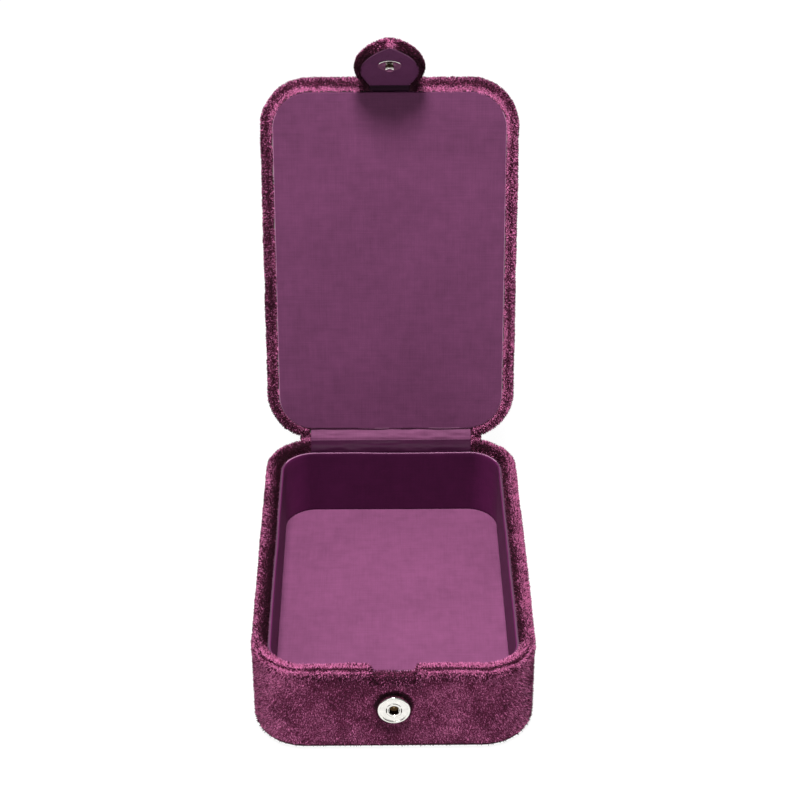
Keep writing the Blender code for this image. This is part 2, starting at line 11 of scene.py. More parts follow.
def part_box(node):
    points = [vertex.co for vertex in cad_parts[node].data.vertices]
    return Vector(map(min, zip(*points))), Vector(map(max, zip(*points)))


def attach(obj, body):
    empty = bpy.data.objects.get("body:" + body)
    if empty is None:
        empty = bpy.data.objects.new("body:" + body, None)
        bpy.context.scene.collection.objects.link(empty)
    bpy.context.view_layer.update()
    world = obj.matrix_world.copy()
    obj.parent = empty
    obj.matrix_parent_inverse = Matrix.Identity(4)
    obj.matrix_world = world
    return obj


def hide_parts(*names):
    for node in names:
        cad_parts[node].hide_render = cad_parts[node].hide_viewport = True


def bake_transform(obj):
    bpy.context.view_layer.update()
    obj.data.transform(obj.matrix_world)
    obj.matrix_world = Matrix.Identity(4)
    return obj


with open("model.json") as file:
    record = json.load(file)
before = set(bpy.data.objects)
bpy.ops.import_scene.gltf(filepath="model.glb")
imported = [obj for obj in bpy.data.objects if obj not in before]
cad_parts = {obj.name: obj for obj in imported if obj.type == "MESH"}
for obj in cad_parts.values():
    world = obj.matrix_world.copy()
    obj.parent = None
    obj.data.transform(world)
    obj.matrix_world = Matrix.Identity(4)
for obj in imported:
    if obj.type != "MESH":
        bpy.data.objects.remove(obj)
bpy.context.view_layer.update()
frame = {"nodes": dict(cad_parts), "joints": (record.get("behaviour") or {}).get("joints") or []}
mm = 0.001

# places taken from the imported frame
joints = {joint["name"]: joint for joint in frame["joints"]}
baseLow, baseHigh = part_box("base_velvet_cover")
trayLow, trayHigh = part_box("tray_wall_cloth")
socketLow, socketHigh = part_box("snap_socket")
halfWidth = baseHigh.x
halfDepth = backWall = baseHigh.y
depth = 2 * halfDepth
rimTop = baseHigh.z
hingeSpot = Vector(joints["lid_hinge"]["pos_m"])
openAngle = math.radians(-joints["lid_hinge"]["range_deg"][0])
tabBend = math.radians(90 + joints["tab_fold"]["range_deg"][0])
cornerRadius = 19 * mm
cornerX, cornerY = halfWidth - cornerRadius, halfDepth - cornerRadius  # centre of the outline's corner
snapHeight = (socketLow.z + socketHigh.z) / 2


def lidPlace(points):
    x, s, t = np.moveaxis(np.asarray(points, float), -1, 0)  # across, from the hinge, over the inner face
    y = hingeSpot.y - s * math.cos(openAngle) + t * math.sin(openAngle)
    z = hingeSpot.z + s * math.sin(openAngle) + t * math.cos(openAngle)
    return np.stack([x, y, z], -1)


def lidLocal(points):  # across, distance from the hinge and height over the inner face
    dy, dz = points[:, 1] - hingeSpot.y, points[:, 2] - hingeSpot.z
    s = -dy * math.cos(openAngle) + dz * math.sin(openAngle)
    t = dy * math.sin(openAngle) + dz * math.cos(openAngle)
    return points[:, 0], s, t


def softNoise(points, size, seed):  # smooth value noise, -1 to 1, the same on every run
    spots = np.asarray(points, float) / size + seed * 3.71
    cell = np.floor(spots).astype(np.int64)
    part = spots - cell
    part = part * part * (3 - 2 * part)
    total = np.zeros(spots.shape[:-1])
    for corner in itertools.product((0, 1), repeat=3):
        key = cell + np.array(corner)
        mixed = key[..., 0] * 73856093 ^ key[..., 1] * 19349663 ^ key[..., 2] * 83492791 ^ seed * 7919
        mixed = (mixed ^ (mixed >> 13)) * 1274126177
        value = ((mixed ^ (mixed >> 16)) & 0xFFFFF) / 0xFFFFF * 2 - 1
        total += np.prod(np.where(np.array(corner) == 1, part, 1 - part), axis=-1) * value
    return total


def noises(points, parts):  # parts are (height, size of a dent, seed)
    return sum(height * softNoise(points, size, seed) for height, size, seed in parts)


def smoothStep(low, high, value):
    share = np.clip((np.asarray(value, float) - low) / (high - low), 0, 1)
    return share * share * (3 - 2 * share)


def bump(value, centre, width):
    return np.exp(-((value - centre) / width) ** 2)


def stripes(value, parts):  # parts are (strength, centre, width)
    return sum(strength * bump(value, centre, width) for strength, centre, width in parts)


def flatSpots(*columns):  # places for noise that doesn't change with height
    return np.column_stack([*columns, np.zeros(len(columns[0]))])


def addPiece(name, mesh):
    piece = bpy.data.objects.new(name, mesh)
    bpy.context.scene.collection.objects.link(piece)
    return piece


def tidyMesh(piece, merge=0.01 * mm):
    shape = bmesh.new()
    shape.from_mesh(piece.data)
    bmesh.ops.remove_doubles(shape, verts=shape.verts, dist=merge)
    bmesh.ops.recalc_face_normals(shape, faces=shape.faces)
    shape.to_mesh(piece.data)
    shape.free()
    piece.data.polygons.foreach_set("use_smooth", [True] * len(piece.data.polygons))
    return piece


def meshPiece(name, points, faces, uv=None, **tidying):  # uv is one pair for each corner of each face
    mesh = bpy.data.meshes.new(name)
    mesh.from_pydata(points.tolist(), [], faces)
    if uv is not None:
        mesh.uv_layers.new(name="cloth").data.foreach_set("uv", uv.astype(np.float32).ravel())
    return tidyMesh(addPiece(name, mesh), **tidying)


def bake(piece):  # turns a piece with its modifiers into a plain mesh
    graph = bpy.context.evaluated_depsgraph_get()
    graph.update()
    mesh = bpy.data.meshes.new_from_object(piece.evaluated_get(graph), preserve_all_data_layers=True,
                                           depsgraph=graph)
    old = piece.data
    piece.modifiers.clear()
    piece.data = mesh
    bpy.data.meshes.remove(old)
    mesh.name = piece.name


def coat(piece, *materials, choose=None):  # choose(face) says which of the materials a face wears
    piece.data.materials.clear()
    for material in materials:
        piece.data.materials.append(material)
    if choose:
        for face in piece.data.polygons:
            face.material_index = int(choose(face))
    return piece


def clothSpot(piece, face):  # a face's middle on its own cloth, laid flat
    uv = piece.data.uv_layers["cloth"].data
    return np.mean([uv[i].uv for i in face.loop_indices], axis=0)


def pointsOf(mesh):
    points = np.empty(len(mesh.vertices) * 3)
    mesh.vertices.foreach_get("co", points)
    return points.reshape(-1, 3)


def move(piece, change):
    piece.data.vertices.foreach_set("co", change(pointsOf(piece.data)).ravel())
    piece.data.update()


def sculpt(piece, height):  # moves each point along its normal by height(points)
    normals = np.empty(len(piece.data.vertices) * 3)
    piece.data.vertex_normals.foreach_get("vector", normals)
    move(piece, lambda points: points + normals.reshape(-1, 3) * height(points)[:, None])


def markPoints(mesh, name, valueAt):
    values = valueAt(pointsOf(mesh)).astype(np.float32)
    mesh.attributes.new(name, "FLOAT", "POINT").data.foreach_set("value", values)


def arcPoints(centre, radius, start, end, steps):  # angles in degrees
    angles = np.radians(np.linspace(start, end, steps + 1))
    return [(centre[0] + radius * math.cos(a), centre[1] + radius * math.sin(a)) for a in angles]


def evenSteps(points, step):  # the same line with points about one step apart, and their distances
    points = np.array(points, float)
    lengths = np.concatenate([[0], np.cumsum(np.linalg.norm(np.diff(points, axis=0), axis=1))])
    spots = np.linspace(0, lengths[-1], max(2, round(lengths[-1] / step) + 1))
    return np.stack([np.interp(spots, lengths, points[:, i]) for i in range(points.shape[1])], -1), spots


def outlinePath(step):  # corner centre, direction and distance along the rounded outline
    quarter = cornerRadius * math.pi / 2
    places, travelled = [], 0.0
    for turns, corner in enumerate([(1, 1), (-1, 1), (-1, -1), (1, -1)]):
        straight = 2 * (cornerX if turns % 2 == 0 else cornerY)
        for length, bends in ((quarter, True), (straight, False)):
            count = 2 * max(4, round(length / step / 2))
            for i in range(count):
                part = i / count
                turn = math.radians(90 * turns + 90 * (part if bends else 1))
                centre = np.array([corner[0] * cornerX, corner[1] * cornerY])
                if not bends:
                    centre = centre + np.array([-math.sin(turn), math.cos(turn)]) * length * part
                places.append((*centre, math.cos(turn), math.sin(turn), travelled + length * part))
            travelled += length
    return np.array(places), travelled


def insetOf(x, y):  # how far in from the box's outline
    reachX, reachY = np.abs(x) - cornerX, np.abs(y) - cornerY
    inCorner = (reachX > 0) & (reachY > 0)
    return cornerRadius - np.where(inCorner, np.hypot(reachX, reachY), np.maximum(reachX, reachY))


def gridIndex(grid):  # the numbers of a grid's points, in rows and columns
    rows, columns = grid.shape[:2]
    return np.arange(rows * columns).reshape(rows, columns)


def sweptWall(name, section, step):  # a closed section of (inset, height) carried round the outline
    path, length = outlinePath(step)
    grid = np.array([
        np.column_stack([path[:, :2] + (cornerRadius - inset) * path[:, 2:4], np.full(len(path), height)])
        for inset, height in section])
    index = gridIndex(grid)
    rows, columns = index.shape
    nextRow, nextColumn = np.roll(index, -1, 0), np.roll(index, -1, 1)
    faces = np.stack([index, nextColumn, np.roll(nextRow, -1, 1), nextRow], -1).reshape(-1, 4)
    run = np.concatenate([[0], np.cumsum(np.hypot(*np.diff(np.array(section), axis=0).T))])
    runNext = np.append(run[1:], run[-1] + 1 * mm)
    along = np.append(path[:, 4], length)
    u = np.stack([along[:-1], along[1:], along[1:], along[:-1]], -1)[None].repeat(rows, 0)
    v = np.stack([run, run, runNext, runNext], -1)[:, None].repeat(columns, 1)
    return meshPiece(name, grid.reshape(-1, 3), faces.tolist(), np.stack([u, v], -1))


def boundaryOf(grid):  # the numbers of the points on a grid's edge, once round
    index = gridIndex(grid)
    return np.concatenate([index[0, :-1], index[:-1, -1], index[-1, :0:-1], index[:0:-1, 0]])


def roundedGrid(inset, step):  # rows and columns that fill the outline, drawn in by an inset
    radius, wide, long = cornerRadius - inset, halfWidth - inset, halfDepth - inset
    bend = np.linspace(0, math.pi / 2, 2 * round(radius * math.pi / 4 / step) + 1)
    straight = np.linspace(-(long - radius), long - radius, 2 * round((long - radius) / step) + 1)
    rowsLow = [(-(long - radius) - radius * math.cos(a), wide - radius + radius * math.sin(a)) for a in bend]
    rows = rowsLow + [(y, wide) for y in straight[1:-1]] + [(-y, w) for y, w in rowsLow[::-1]]
    columns = np.linspace(-1, 1, 2 * round(wide / step) + 1)
    return np.array([[(w * c, y) for c in columns] for y, w in rows])


def loopNormals(loop):  # outward normals of a flat closed line of points
    ahead = np.roll(loop, -1, 0) - loop
    ahead /= np.linalg.norm(ahead, axis=1)[:, None] + 1e-12
    along = ahead + np.roll(ahead, 1, 0)
    along /= np.linalg.norm(along, axis=1)[:, None] + 1e-12
    normals = np.stack([along[:, 1], -along[:, 0]], -1)
    area = np.sum(loop[:, 0] * np.roll(loop[:, 1], -1) - np.roll(loop[:, 0], -1) * loop[:, 1])
    return normals if area > 0 else -normals


def slabFromGrid(name, grid, section, place, backGrid=True):  # a grid, its edge rolled over to a back
    flat = grid.reshape(-1, 2)
    edge = boundaryOf(grid)
    loop = flat[edge]
    normals = loopNormals(loop)
    front, back = section[0][1], section[-1][1]
    points, uvs, rings = [np.column_stack([flat, np.full(len(flat), front)])], [flat], [edge]
    run, total = 0.0, len(flat)

    def addRing(offset, height):
        points.append(np.column_stack([loop + normals * offset, np.full(len(loop), height)]))
        uvs.append(loop + normals * run)
        rings.append(np.arange(len(loop)) + total)

    for (offsetBefore, heightBefore), (offset, height) in zip(section[:-1], section[1:-1]):
        run += math.hypot(offset - offsetBefore, height - heightBefore)
        addRing(offset, height)
        total += len(loop)
    index = gridIndex(grid)
    quads = np.stack([index[:-1, :-1], index[:-1, 1:], index[1:, 1:], index[1:, :-1]], -1).reshape(-1, 4)
    faces = quads.tolist()
    if backGrid:
        points.append(np.column_stack([flat, np.full(len(flat), back)]))
        uvs.append(flat)
        faces += (quads[:, ::-1] + total).tolist()
        rings.append(edge + total)
    else:
        addRing(section[-1][0], back)
        faces.append(rings[-1].tolist()[::-1])
    for a, b in zip(rings[:-1], rings[1:]):
        faces += np.stack([a, np.roll(a, -1), np.roll(b, -1), b], -1)[:, ::-1].tolist()
    corners = list(itertools.chain.from_iterable(faces))
    return meshPiece(name, place(np.concatenate(points)), faces, np.concatenate(uvs)[corners])


def roundSection(radius, frontHeight, backHeight, steps):  # over a slab's edge, from front to back
    bend = np.linspace(0, math.pi / 2, steps + 1)
    front = [(radius * math.sin(a), frontHeight - radius + radius * math.cos(a)) for a in bend]
    return front + [(radius * math.cos(a), backHeight + radius - radius * math.sin(a)) for a in bend]


def turnedPiece(name, profile, place, steps=96):  # (radius, height) points turned round their own axis
    mesh = bpy.data.meshes.new(name)
    edges = [(i, i + 1) for i in range(len(profile) - 1)]
    mesh.from_pydata([(radius, 0, height) for radius, height in profile], edges, [])
    piece = addPiece(name, mesh)
    turn = piece.modifiers.new("turn", "SCREW")
    turn.steps = turn.render_steps = steps
    turn.use_merge_vertices = True
    turn.merge_threshold = 0.001 * mm
    bake(piece)
    piece.data.transform(place)
    tidyMesh(piece)
    piece.data.set_sharp_from_angle(angle=math.radians(50))
    return piece


def newMaterial(name, roughness, metallic=0.0):
    material = bpy.data.materials.new(name)
    material.use_nodes = True
    shader = material.node_tree.nodes["Principled BSDF"]
    shader.inputs["Roughness"].default_value = roughness
    shader.inputs["Metallic"].default_value = metallic
    return material, material.node_tree, shader


def put(tree, kind, inputs=None, **settings):
    node = tree.nodes.new(kind)
    for key, value in settings.items():
        setattr(node, key, value)
    for key, value in (inputs or {}).items():
        if isinstance(value, bpy.types.NodeSocket):
            tree.links.new(value, node.inputs[key])
        else:
            node.inputs[key].default_value = value
    return node


def mathOf(tree, operation, *values):
    return put(tree, "ShaderNodeMath", dict(enumerate(values)), operation=operation).outputs[0]


def vectorOf(tree, operation, first, second):
    key = "Scale" if operation == "SCALE" else 1
    return put(tree, "ShaderNodeVectorMath", {0: first, key: second}, operation=operation).outputs[0]


def sumOf(tree, *pairs):  # weighted sum of sockets
    total = 0.0
    for socket, weight in pairs:
        total = mathOf(tree, "MULTIPLY_ADD", socket, weight, total)
    return total


def noiseOf(tree, place, size, detail=2.0, stretch=None):  # size is the size of one cell
    if stretch:
        place = put(tree, "ShaderNodeMapping", {"Vector": place, "Scale": stretch}).outputs["Vector"]
    inputs = {"Vector": place, "Scale": 1 / size, "Detail": detail, "Roughness": 0.55}
    return put(tree, "ShaderNodeTexNoise", inputs).outputs["Fac"]


def rampOf(tree, value, stops):
    node = put(tree, "ShaderNodeValToRGB", {"Fac": value})
    ramp = node.color_ramp
    while len(ramp.elements) < len(stops):
        ramp.elements.new(0.5)
    for element, (position, colour) in zip(ramp.elements, stops):
        element.position = position
        element.color = (*colour, 1)
    return node.outputs["Color"]


def objectPlace(tree):
    return put(tree, "ShaderNodeTexCoord").outputs["Object"]


def addBump(tree, shader, height, distance, strength=1.0):
    node = put(tree, "ShaderNodeBump", {"Height": height, "Distance": distance, "Strength": strength})
    tree.links.new(node.outputs["Normal"], shader.inputs["Normal"])


def addSheen(shader, weight, roughness, tint, gloss):
    for key, value in (("Sheen Weight", weight), ("Sheen Roughness", roughness), ("Sheen Tint", tint),
                       ("Specular IOR Level", gloss)):
        shader.inputs[key].default_value = value


cameraSetup = {"turn": -0.63, "rise": 31.62, "distance": 0.6919, "lens": 84.5, "sensor": 36,
               "target": (0.0030, 0.0, 0.10275)}
lightSetup = {
    "overhead": {"place": (-0.03, -0.33, 1.06), "aim": (0, 0.02, 0.1), "size": 0.26, "power": 19.0},
    "front": {"place": (-0.50, -1.1, 0.80), "aim": (0, 0, 0.1), "size": 0.6, "power": 2.0},
}
skySetup = {"high": 0.34, "low": 0.10, "from": 0.0, "to": 0.6, "seen": 1.0}
floorSetup = {"reach": 4.0, "grey": 0.12, "roughness": 0.9, "glow": 0.93}


def aimed(name, data, place, aim):  # a lamp or camera that looks at a spot
    thing = addPiece(name, data)
    thing.location = place
    thing.rotation_mode = "QUATERNION"
    thing.rotation_quaternion = (Vector(aim) - Vector(place)).to_track_quat("-Z", "Y")
    return thing


def makeCamera():
    setup = cameraSetup
    turn, rise = math.radians(setup["turn"]), math.radians(setup["rise"])
    back = Vector((math.sin(turn) * math.cos(rise), -math.cos(turn) * math.cos(rise), math.sin(rise)))
    data = bpy.data.cameras.new("camera")
    data.lens = setup["lens"]
    data.sensor_width = setup["sensor"]
    target = Vector(setup["target"])
    bpy.context.scene.camera = aimed("camera", data, target + back * setup["distance"], target)


def makeLights():
    for name, setup in lightSetup.items():
        data = bpy.data.lights.new(name, "AREA")
        data.shape = "DISK"
        data.size = setup["size"]
        data.energy = setup["power"]
        aimed(name, data, setup["place"], setup["aim"])
    world = bpy.data.worlds.new("studio")
    world.use_nodes = True
    tree = world.node_tree
    around = put(tree, "ShaderNodeTexCoord").outputs["Generated"]
    height = put(tree, "ShaderNodeSeparateXYZ", {"Vector": around})
    rise = put(tree, "ShaderNodeMapRange", {
        "Value": height.outputs["Z"], "From Min": skySetup["from"], "From Max": skySetup["to"],
        "To Min": skySetup["low"], "To Max": skySetup["high"]})
    seen = put(tree, "ShaderNodeLightPath").outputs["Is Camera Ray"]
    strength = put(tree, "ShaderNodeMix", {
        "Factor": seen, "A": rise.outputs["Result"], "B": skySetup["seen"]})
    tree.nodes["Background"].inputs["Color"].default_value = (1, 1, 1, 1)
    tree.links.new(strength.outputs["Result"], tree.nodes["Background"].inputs["Strength"])
    bpy.context.scene.world = world
    bpy.context.scene.view_settings.view_transform = "Standard"


def makeFloor():
    reach, grey = floorSetup["reach"], floorSetup["grey"]
    mesh = bpy.data.meshes.new("floor")
    mesh.from_pydata([(-reach, -reach, 0), (reach, -reach, 0), (reach, reach, 0), (-reach, reach, 0)], [],
                     [(0, 1, 2, 3)])
    paper, _, shader = newMaterial("floorPaper", floorSetup["roughness"])
    shader.inputs["Base Color"].default_value = (grey, grey, grey, 1)
    shader.inputs["Emission Color"].default_value = (1, 1, 1, 1)
    shader.inputs["Emission Strength"].default_value = floorSetup["glow"]
    coat(addPiece("floor", mesh), paper)


velvetSetup = {"deep": (0.020, 0.0012, 0.007), "middle": (0.098, 0.010, 0.042), "bright": (0.54, 0.15, 0.32),
               "stops": (0.22, 0.5, 0.80), "patch": 13 * mm, "crush": 3.2 * mm, "fleck": 0.5 * mm,
               "tuft": 0.35 * mm, "relief": 0.5 * mm, "roughness": 0.78,
               "sheen": (0.14, 0.35, (1.0, 0.30, 0.62, 1), 0.15)}


def makeVelvet(name, patches, flecks, tuftTone=0.0):
    setup = velvetSetup
    material, tree, shader = newMaterial(name, setup["roughness"])
    place = objectPlace(tree)
    fine = noiseOf(tree, place, setup["fleck"], 3)
    # the attribute read here holds painted highlights and painted shadows, added to the velvet's value
    paintedShading = put(tree, "ShaderNodeAttribute", attribute_name="paintedShading").outputs["Fac"]
    parts = [(noiseOf(tree, place, setup["patch"]), patches),
             (noiseOf(tree, place, setup["crush"]), patches * 0.35), (fine, flecks), (paintedShading, 1.0)]
    if tuftTone:
        parts.append((put(tree, "ShaderNodeAttribute", attribute_name="tone").outputs["Fac"], tuftTone))
    share = patches * 1.35 + flecks + tuftTone
    value = mathOf(tree, "MULTIPLY_ADD", sumOf(tree, *parts), 1.0, 0.5 - share / 2)
    colours = (setup["deep"], setup["middle"], setup["bright"])
    tree.links.new(rampOf(tree, value, list(zip(setup["stops"], colours))), shader.inputs["Base Color"])
    addSheen(shader, *setup["sheen"])
    if not tuftTone:
        tufts = sumOf(tree, (fine, 1.0), (noiseOf(tree, place, setup["tuft"]), 0.5))
        addBump(tree, shader, tufts, setup["relief"])
    return material


velvetWall = makeVelvet("crushedVelvet", 0.40, 1.0)
velvetPile = makeVelvet("velvetPile", 0.40, 0.6, 0.50)
velvetRim = makeVelvet("velvetRim", 0.5, 1.9)
velvetRimPile = makeVelvet("velvetRimPile", 0.5, 1.2, 0.85)


def pileTree():  # Geometry Nodes that grow short leaning blades on a surface
    tree = bpy.data.node_groups.new("velvetPile", "GeometryNodeTree")
    side = tree.interface
    side.new_socket("Geometry", in_out="INPUT", socket_type="NodeSocketGeometry")
    for label, kind in (("Density", "Float"), ("Length", "Float"), ("Width", "Float"), ("Lean", "Float"),
                        ("Patch", "Float"), ("Seed", "Int"), ("Finish", "Material")):
        side.new_socket(label, in_out="INPUT", socket_type="NodeSocket" + kind)
    side.new_socket("Geometry", in_out="OUTPUT", socket_type="NodeSocketGeometry")
    start = tree.nodes.new("NodeGroupInput").outputs
    grow = put(tree, "GeometryNodeInputNamedAttribute", {"Name": "grow"}, data_type="FLOAT").outputs[0]
    scatter = put(tree, "GeometryNodeDistributePointsOnFaces", {
        "Mesh": start["Geometry"], "Density": mathOf(tree, "MULTIPLY", grow, start["Density"]),
        "Seed": start["Seed"]})
    spot = put(tree, "GeometryNodeInputPosition").outputs[0]
    perCell = mathOf(tree, "DIVIDE", 1.0, start["Patch"])
    drift = put(tree, "ShaderNodeTexNoise", {"Vector": spot, "Scale": perCell, "Detail": 2.0})
    centred = vectorOf(tree, "SUBTRACT", drift.outputs["Color"], (0.5, 0.5, 0.55))
    loose = put(tree, "FunctionNodeRandomValue", {"Min": (-0.16,) * 3, "Max": (0.16,) * 3, "Seed": 3},
                data_type="FLOAT_VECTOR").outputs["Value"]
    leaning = vectorOf(tree, "SCALE", vectorOf(tree, "ADD", centred, loose), start["Lean"])
    heading = vectorOf(tree, "ADD", scatter.outputs["Normal"], leaning)
    turn = put(tree, "FunctionNodeAlignRotationToVector", {"Vector": heading}, axis="Z").outputs["Rotation"]
    blade = put(tree, "GeometryNodeMeshCone", {
        "Vertices": 3, "Radius Top": 0.0, "Radius Bottom": start["Width"], "Depth": start["Length"]},
        fill_type="NONE").outputs["Mesh"]
    size = put(tree, "FunctionNodeRandomValue", {2: 0.6, 3: 1.25, "Seed": 5}, data_type="FLOAT").outputs[1]
    tufts = put(tree, "GeometryNodeInstanceOnPoints", {
        "Points": scatter.outputs["Points"], "Instance": blade, "Rotation": turn, "Scale": size}).outputs[0]
    tone = put(tree, "FunctionNodeRandomValue", {2: 0.0, 3: 1.0, "Seed": 8}, data_type="FLOAT").outputs[1]
    marked = put(tree, "GeometryNodeStoreNamedAttribute", {"Geometry": tufts, "Name": "tone", "Value": tone},
                 data_type="FLOAT", domain="INSTANCE").outputs[0]
    real = put(tree, "GeometryNodeRealizeInstances", {"Geometry": marked}).outputs[0]
    done = put(tree, "GeometryNodeSetMaterial", {"Geometry": real, "Material": start["Finish"]}).outputs[0]
    put(tree, "NodeGroupOutput", {"Geometry": done})
    return tree


pile = pileTree()
rimPile = {"Length": 0.9 * mm, "Width": 0.24 * mm, "Lean": 1.1, "Patch": 1.6 * mm, "Finish": velvetRimPile}
wallPile = {"Length": 0.8 * mm, "Width": 0.17 * mm, "Lean": 0.9, "Patch": 5 * mm, "Finish": velvetPile}


def growPile(name, ground, where, settings):  # where(points) gives each point's share of the density
    surface = addPiece(name, ground.data.copy())
    markPoints(surface.data, "grow", where)
    grower = surface.modifiers.new("pile", "NODES")
    grower.node_group = pile
    for item in pile.interface.items_tree:
        if item.in_out == "INPUT" and item.name in settings:
            grower[item.identifier] = settings[item.name]
    bake(surface)
    print(name, "has", len(surface.data.polygons), "faces")
    return surface


baseSetup = {"step": 0.62 * mm, "wall": 0.9 * mm, "rimWidth": 4.4 * mm, "rimReturn": 11.8 * mm,
             "bottomRound": 2.4 * mm, "turnIn": 11.5 * mm, "notchHalf": 8.2 * mm, "notchDrop": 3.2 * mm,
             "ribbonHalf": 34.4 * mm, "ribbonDrop": 1.7 * mm, "snapPress": 0.7 * mm, "snapReach": 5.9 * mm,
             "dents": ((0.10 * mm, 10 * mm, 1), (0.07 * mm, 2.6 * mm, 2)),
             "rimDents": ((0.20 * mm, 1.4 * mm, 3), (0.15 * mm, 4 * mm, 5))}
# painted light and shadow on the base velvet: highlight lines along the rim's roll with a dark line between,
# lighter and darker lines along the sides, the right side lighter, the front wall lighter towards its
# corners, and painted shadow inside the rim, in the notch, along the bottom edge and round the snap
rimShade = {
    "lines": ((0.42, -0.75 * mm, 0.5 * mm), (0.40, 1.15 * mm, 0.5 * mm), (-0.34, 0.15 * mm, 0.5 * mm)),
    "sides": ((0.12, 0.6 * mm, 0.8 * mm), (-0.18, 2.8 * mm, 0.9 * mm)),
    "inside": -0.50, "right": 0.12, "notch": -0.22, "corner": 0.10, "hemShadow": -0.80, "snapShadow": -0.45,
    "wander": 0.5 * mm,
}


def fromSnap(points):  # distance from the snap's middle, seen from the front
    return np.hypot(points[:, 0], points[:, 2] - snapHeight)


def shapeRim(points):  # lowers the rim at the notch and under the hinge ribbon
    setup = baseSetup
    x, y, z = points.T
    across = np.abs(x) + 0.25 * mm * softNoise(points, 1.5 * mm, 4)
    upper = smoothStep(rimTop - 9 * mm, rimTop - 2 * mm, z)
    front = smoothStep(-halfDepth + 8 * mm, -halfDepth + 6 * mm, y)
    notch = 1 - smoothStep(setup["notchHalf"] - 0.7 * mm, setup["notchHalf"] + 0.9 * mm, across)
    back = smoothStep(halfDepth - 8 * mm, halfDepth - 6 * mm, y)
    ribbon = 1 - smoothStep(setup["ribbonHalf"] - 0.8 * mm, setup["ribbonHalf"] + 0.8 * mm, across)
    low = upper * (front * notch * setup["notchDrop"] + back * ribbon * setup["ribbonDrop"])
    return np.column_stack([x, y, z - low])


def baseRelief(points):
    setup = baseSetup
    y, z = points[:, 1], points[:, 2]
    rim = smoothStep(rimTop - 5 * mm, rimTop - 2.5 * mm, z)
    shown = smoothStep(baseLow.z + 0.5 * mm, baseLow.z + 3 * mm, z)
    reach = setup["snapReach"]
    press = (y < -halfDepth + 2 * mm) * (1 - smoothStep(reach, reach + 1.9 * mm, fromSnap(points)))
    height = noises(points, setup["dents"]) + rim * noises(points, setup["rimDents"])
    return height * shown - press * setup["snapPress"]


# painted highlights and painted shadows for the base velvet, stored on its points
def baseShade(points):
    setup = rimShade
    x, y, z = points.T
    inset = insetOf(x, y) + setup["wander"] * softNoise(points, 5 * mm, 6)
    front = 1 - smoothStep(-halfDepth + 8 * mm, -halfDepth + 22 * mm, y)
    drop = z - rimTop + baseSetup["notchDrop"] * (np.abs(x) < 9 * mm) * front
    roll = smoothStep(-4.5 * mm, -2.2 * mm, drop)
    notch = 1 - smoothStep(8 * mm, 9.5 * mm, np.abs(x))
    lines = stripes(0.52 * inset + 0.85 * drop, setup["lines"]) * (1 - notch) + setup["notch"] * notch
    sides = stripes(inset, setup["sides"]) + setup["right"] * np.clip(x / halfWidth, -0.8, 1)
    sides += setup["inside"] * smoothStep(3.0 * mm, 3.9 * mm, inset)
    corner = smoothStep(halfWidth - 16 * mm, halfWidth - 2 * mm, np.abs(x)) * front * (1 - roll)
    # painted shadow along the bottom edge, and round the snap
    hemShadow = 1 - smoothStep(1.2 * mm, 2.2 * mm, z - baseLow.z)
    snap = (y < 0) * (1 - smoothStep(6.2 * mm, 7.6 * mm, fromSnap(points)))
    return (roll * (front * lines + (1 - front) * sides) + setup["corner"] * corner + setup["hemShadow"] * hemShadow
            + setup["snapShadow"] * snap)


def makeBaseVelvet():
    setup = baseSetup
    low, wall, rim = baseLow.z, setup["wall"], setup["rimWidth"]
    rollPlace = (rim / 2, rimTop - rim / 2)
    outside = arcPoints((setup["bottomRound"], low + setup["bottomRound"]), setup["bottomRound"], 270, 180, 6)
    outside += arcPoints(rollPlace, rim / 2, 180, 0, 16) + [(rim, rimTop - setup["rimReturn"])]
    outside, _ = evenSteps(outside, setup["step"])
    inside = [(rim - wall, rimTop - setup["rimReturn"])] + arcPoints(rollPlace, rim / 2 - wall, 0, 180, 4)
    inside += [(wall, rimTop - 6 * mm), (wall, rimTop - 9 * mm), (wall, low + 3 * mm), (2 * wall, low + wall)]
    inside += [(setup["turnIn"], low + wall), (setup["turnIn"], low)]
    velvet = sweptWall("velvet_base", outside.tolist() + inside, setup["step"])
    move(velvet, shapeRim)
    sculpt(velvet, baseRelief)
    markPoints(velvet.data, "paintedShading", baseShade)
    edge = rimTop - 4.2 * mm  # the rim's velvet, with stronger flecks, ends on a wavy line
    return coat(velvet, velvetWall, velvetRim,
                choose=lambda face: face.center.z > edge + 0.5 * mm * math.sin(face.center.x * 900))


def rimShare(points):
    x, y, z = points.T
    inset = insetOf(x, y)
    dropped = baseSetup["notchDrop"] * (np.abs(x) < 9 * mm) * (y < 0)
    top = smoothStep(rimTop - 5 * mm, rimTop - 3.6 * mm, z + dropped)
    skin = smoothStep(1.1 * mm, 0.5 * mm, np.abs(inset - baseSetup["rimWidth"])) + (inset < 0.6 * mm)
    roll = (z > rimTop - 3.0 * mm) & (inset > -mm)
    ribbon = (y > halfDepth - 8 * mm) & (np.abs(x) < baseSetup["ribbonHalf"] - 1 * mm) & (inset > 0.8 * mm)
    return top * np.clip(skin + roll, 0, 1) * ~ribbon


def wallShare(points):
    x, y, z = points.T
    outer = (insetOf(x, y) < 0.6 * mm) & (z > baseLow.z + 1.2 * mm)
    beside = (fromSnap(points) > 6.4 * mm) | (y > 0)
    return outer * beside * (1 - smoothStep(rimTop - 4 * mm, rimTop - 2.5 * mm, z))


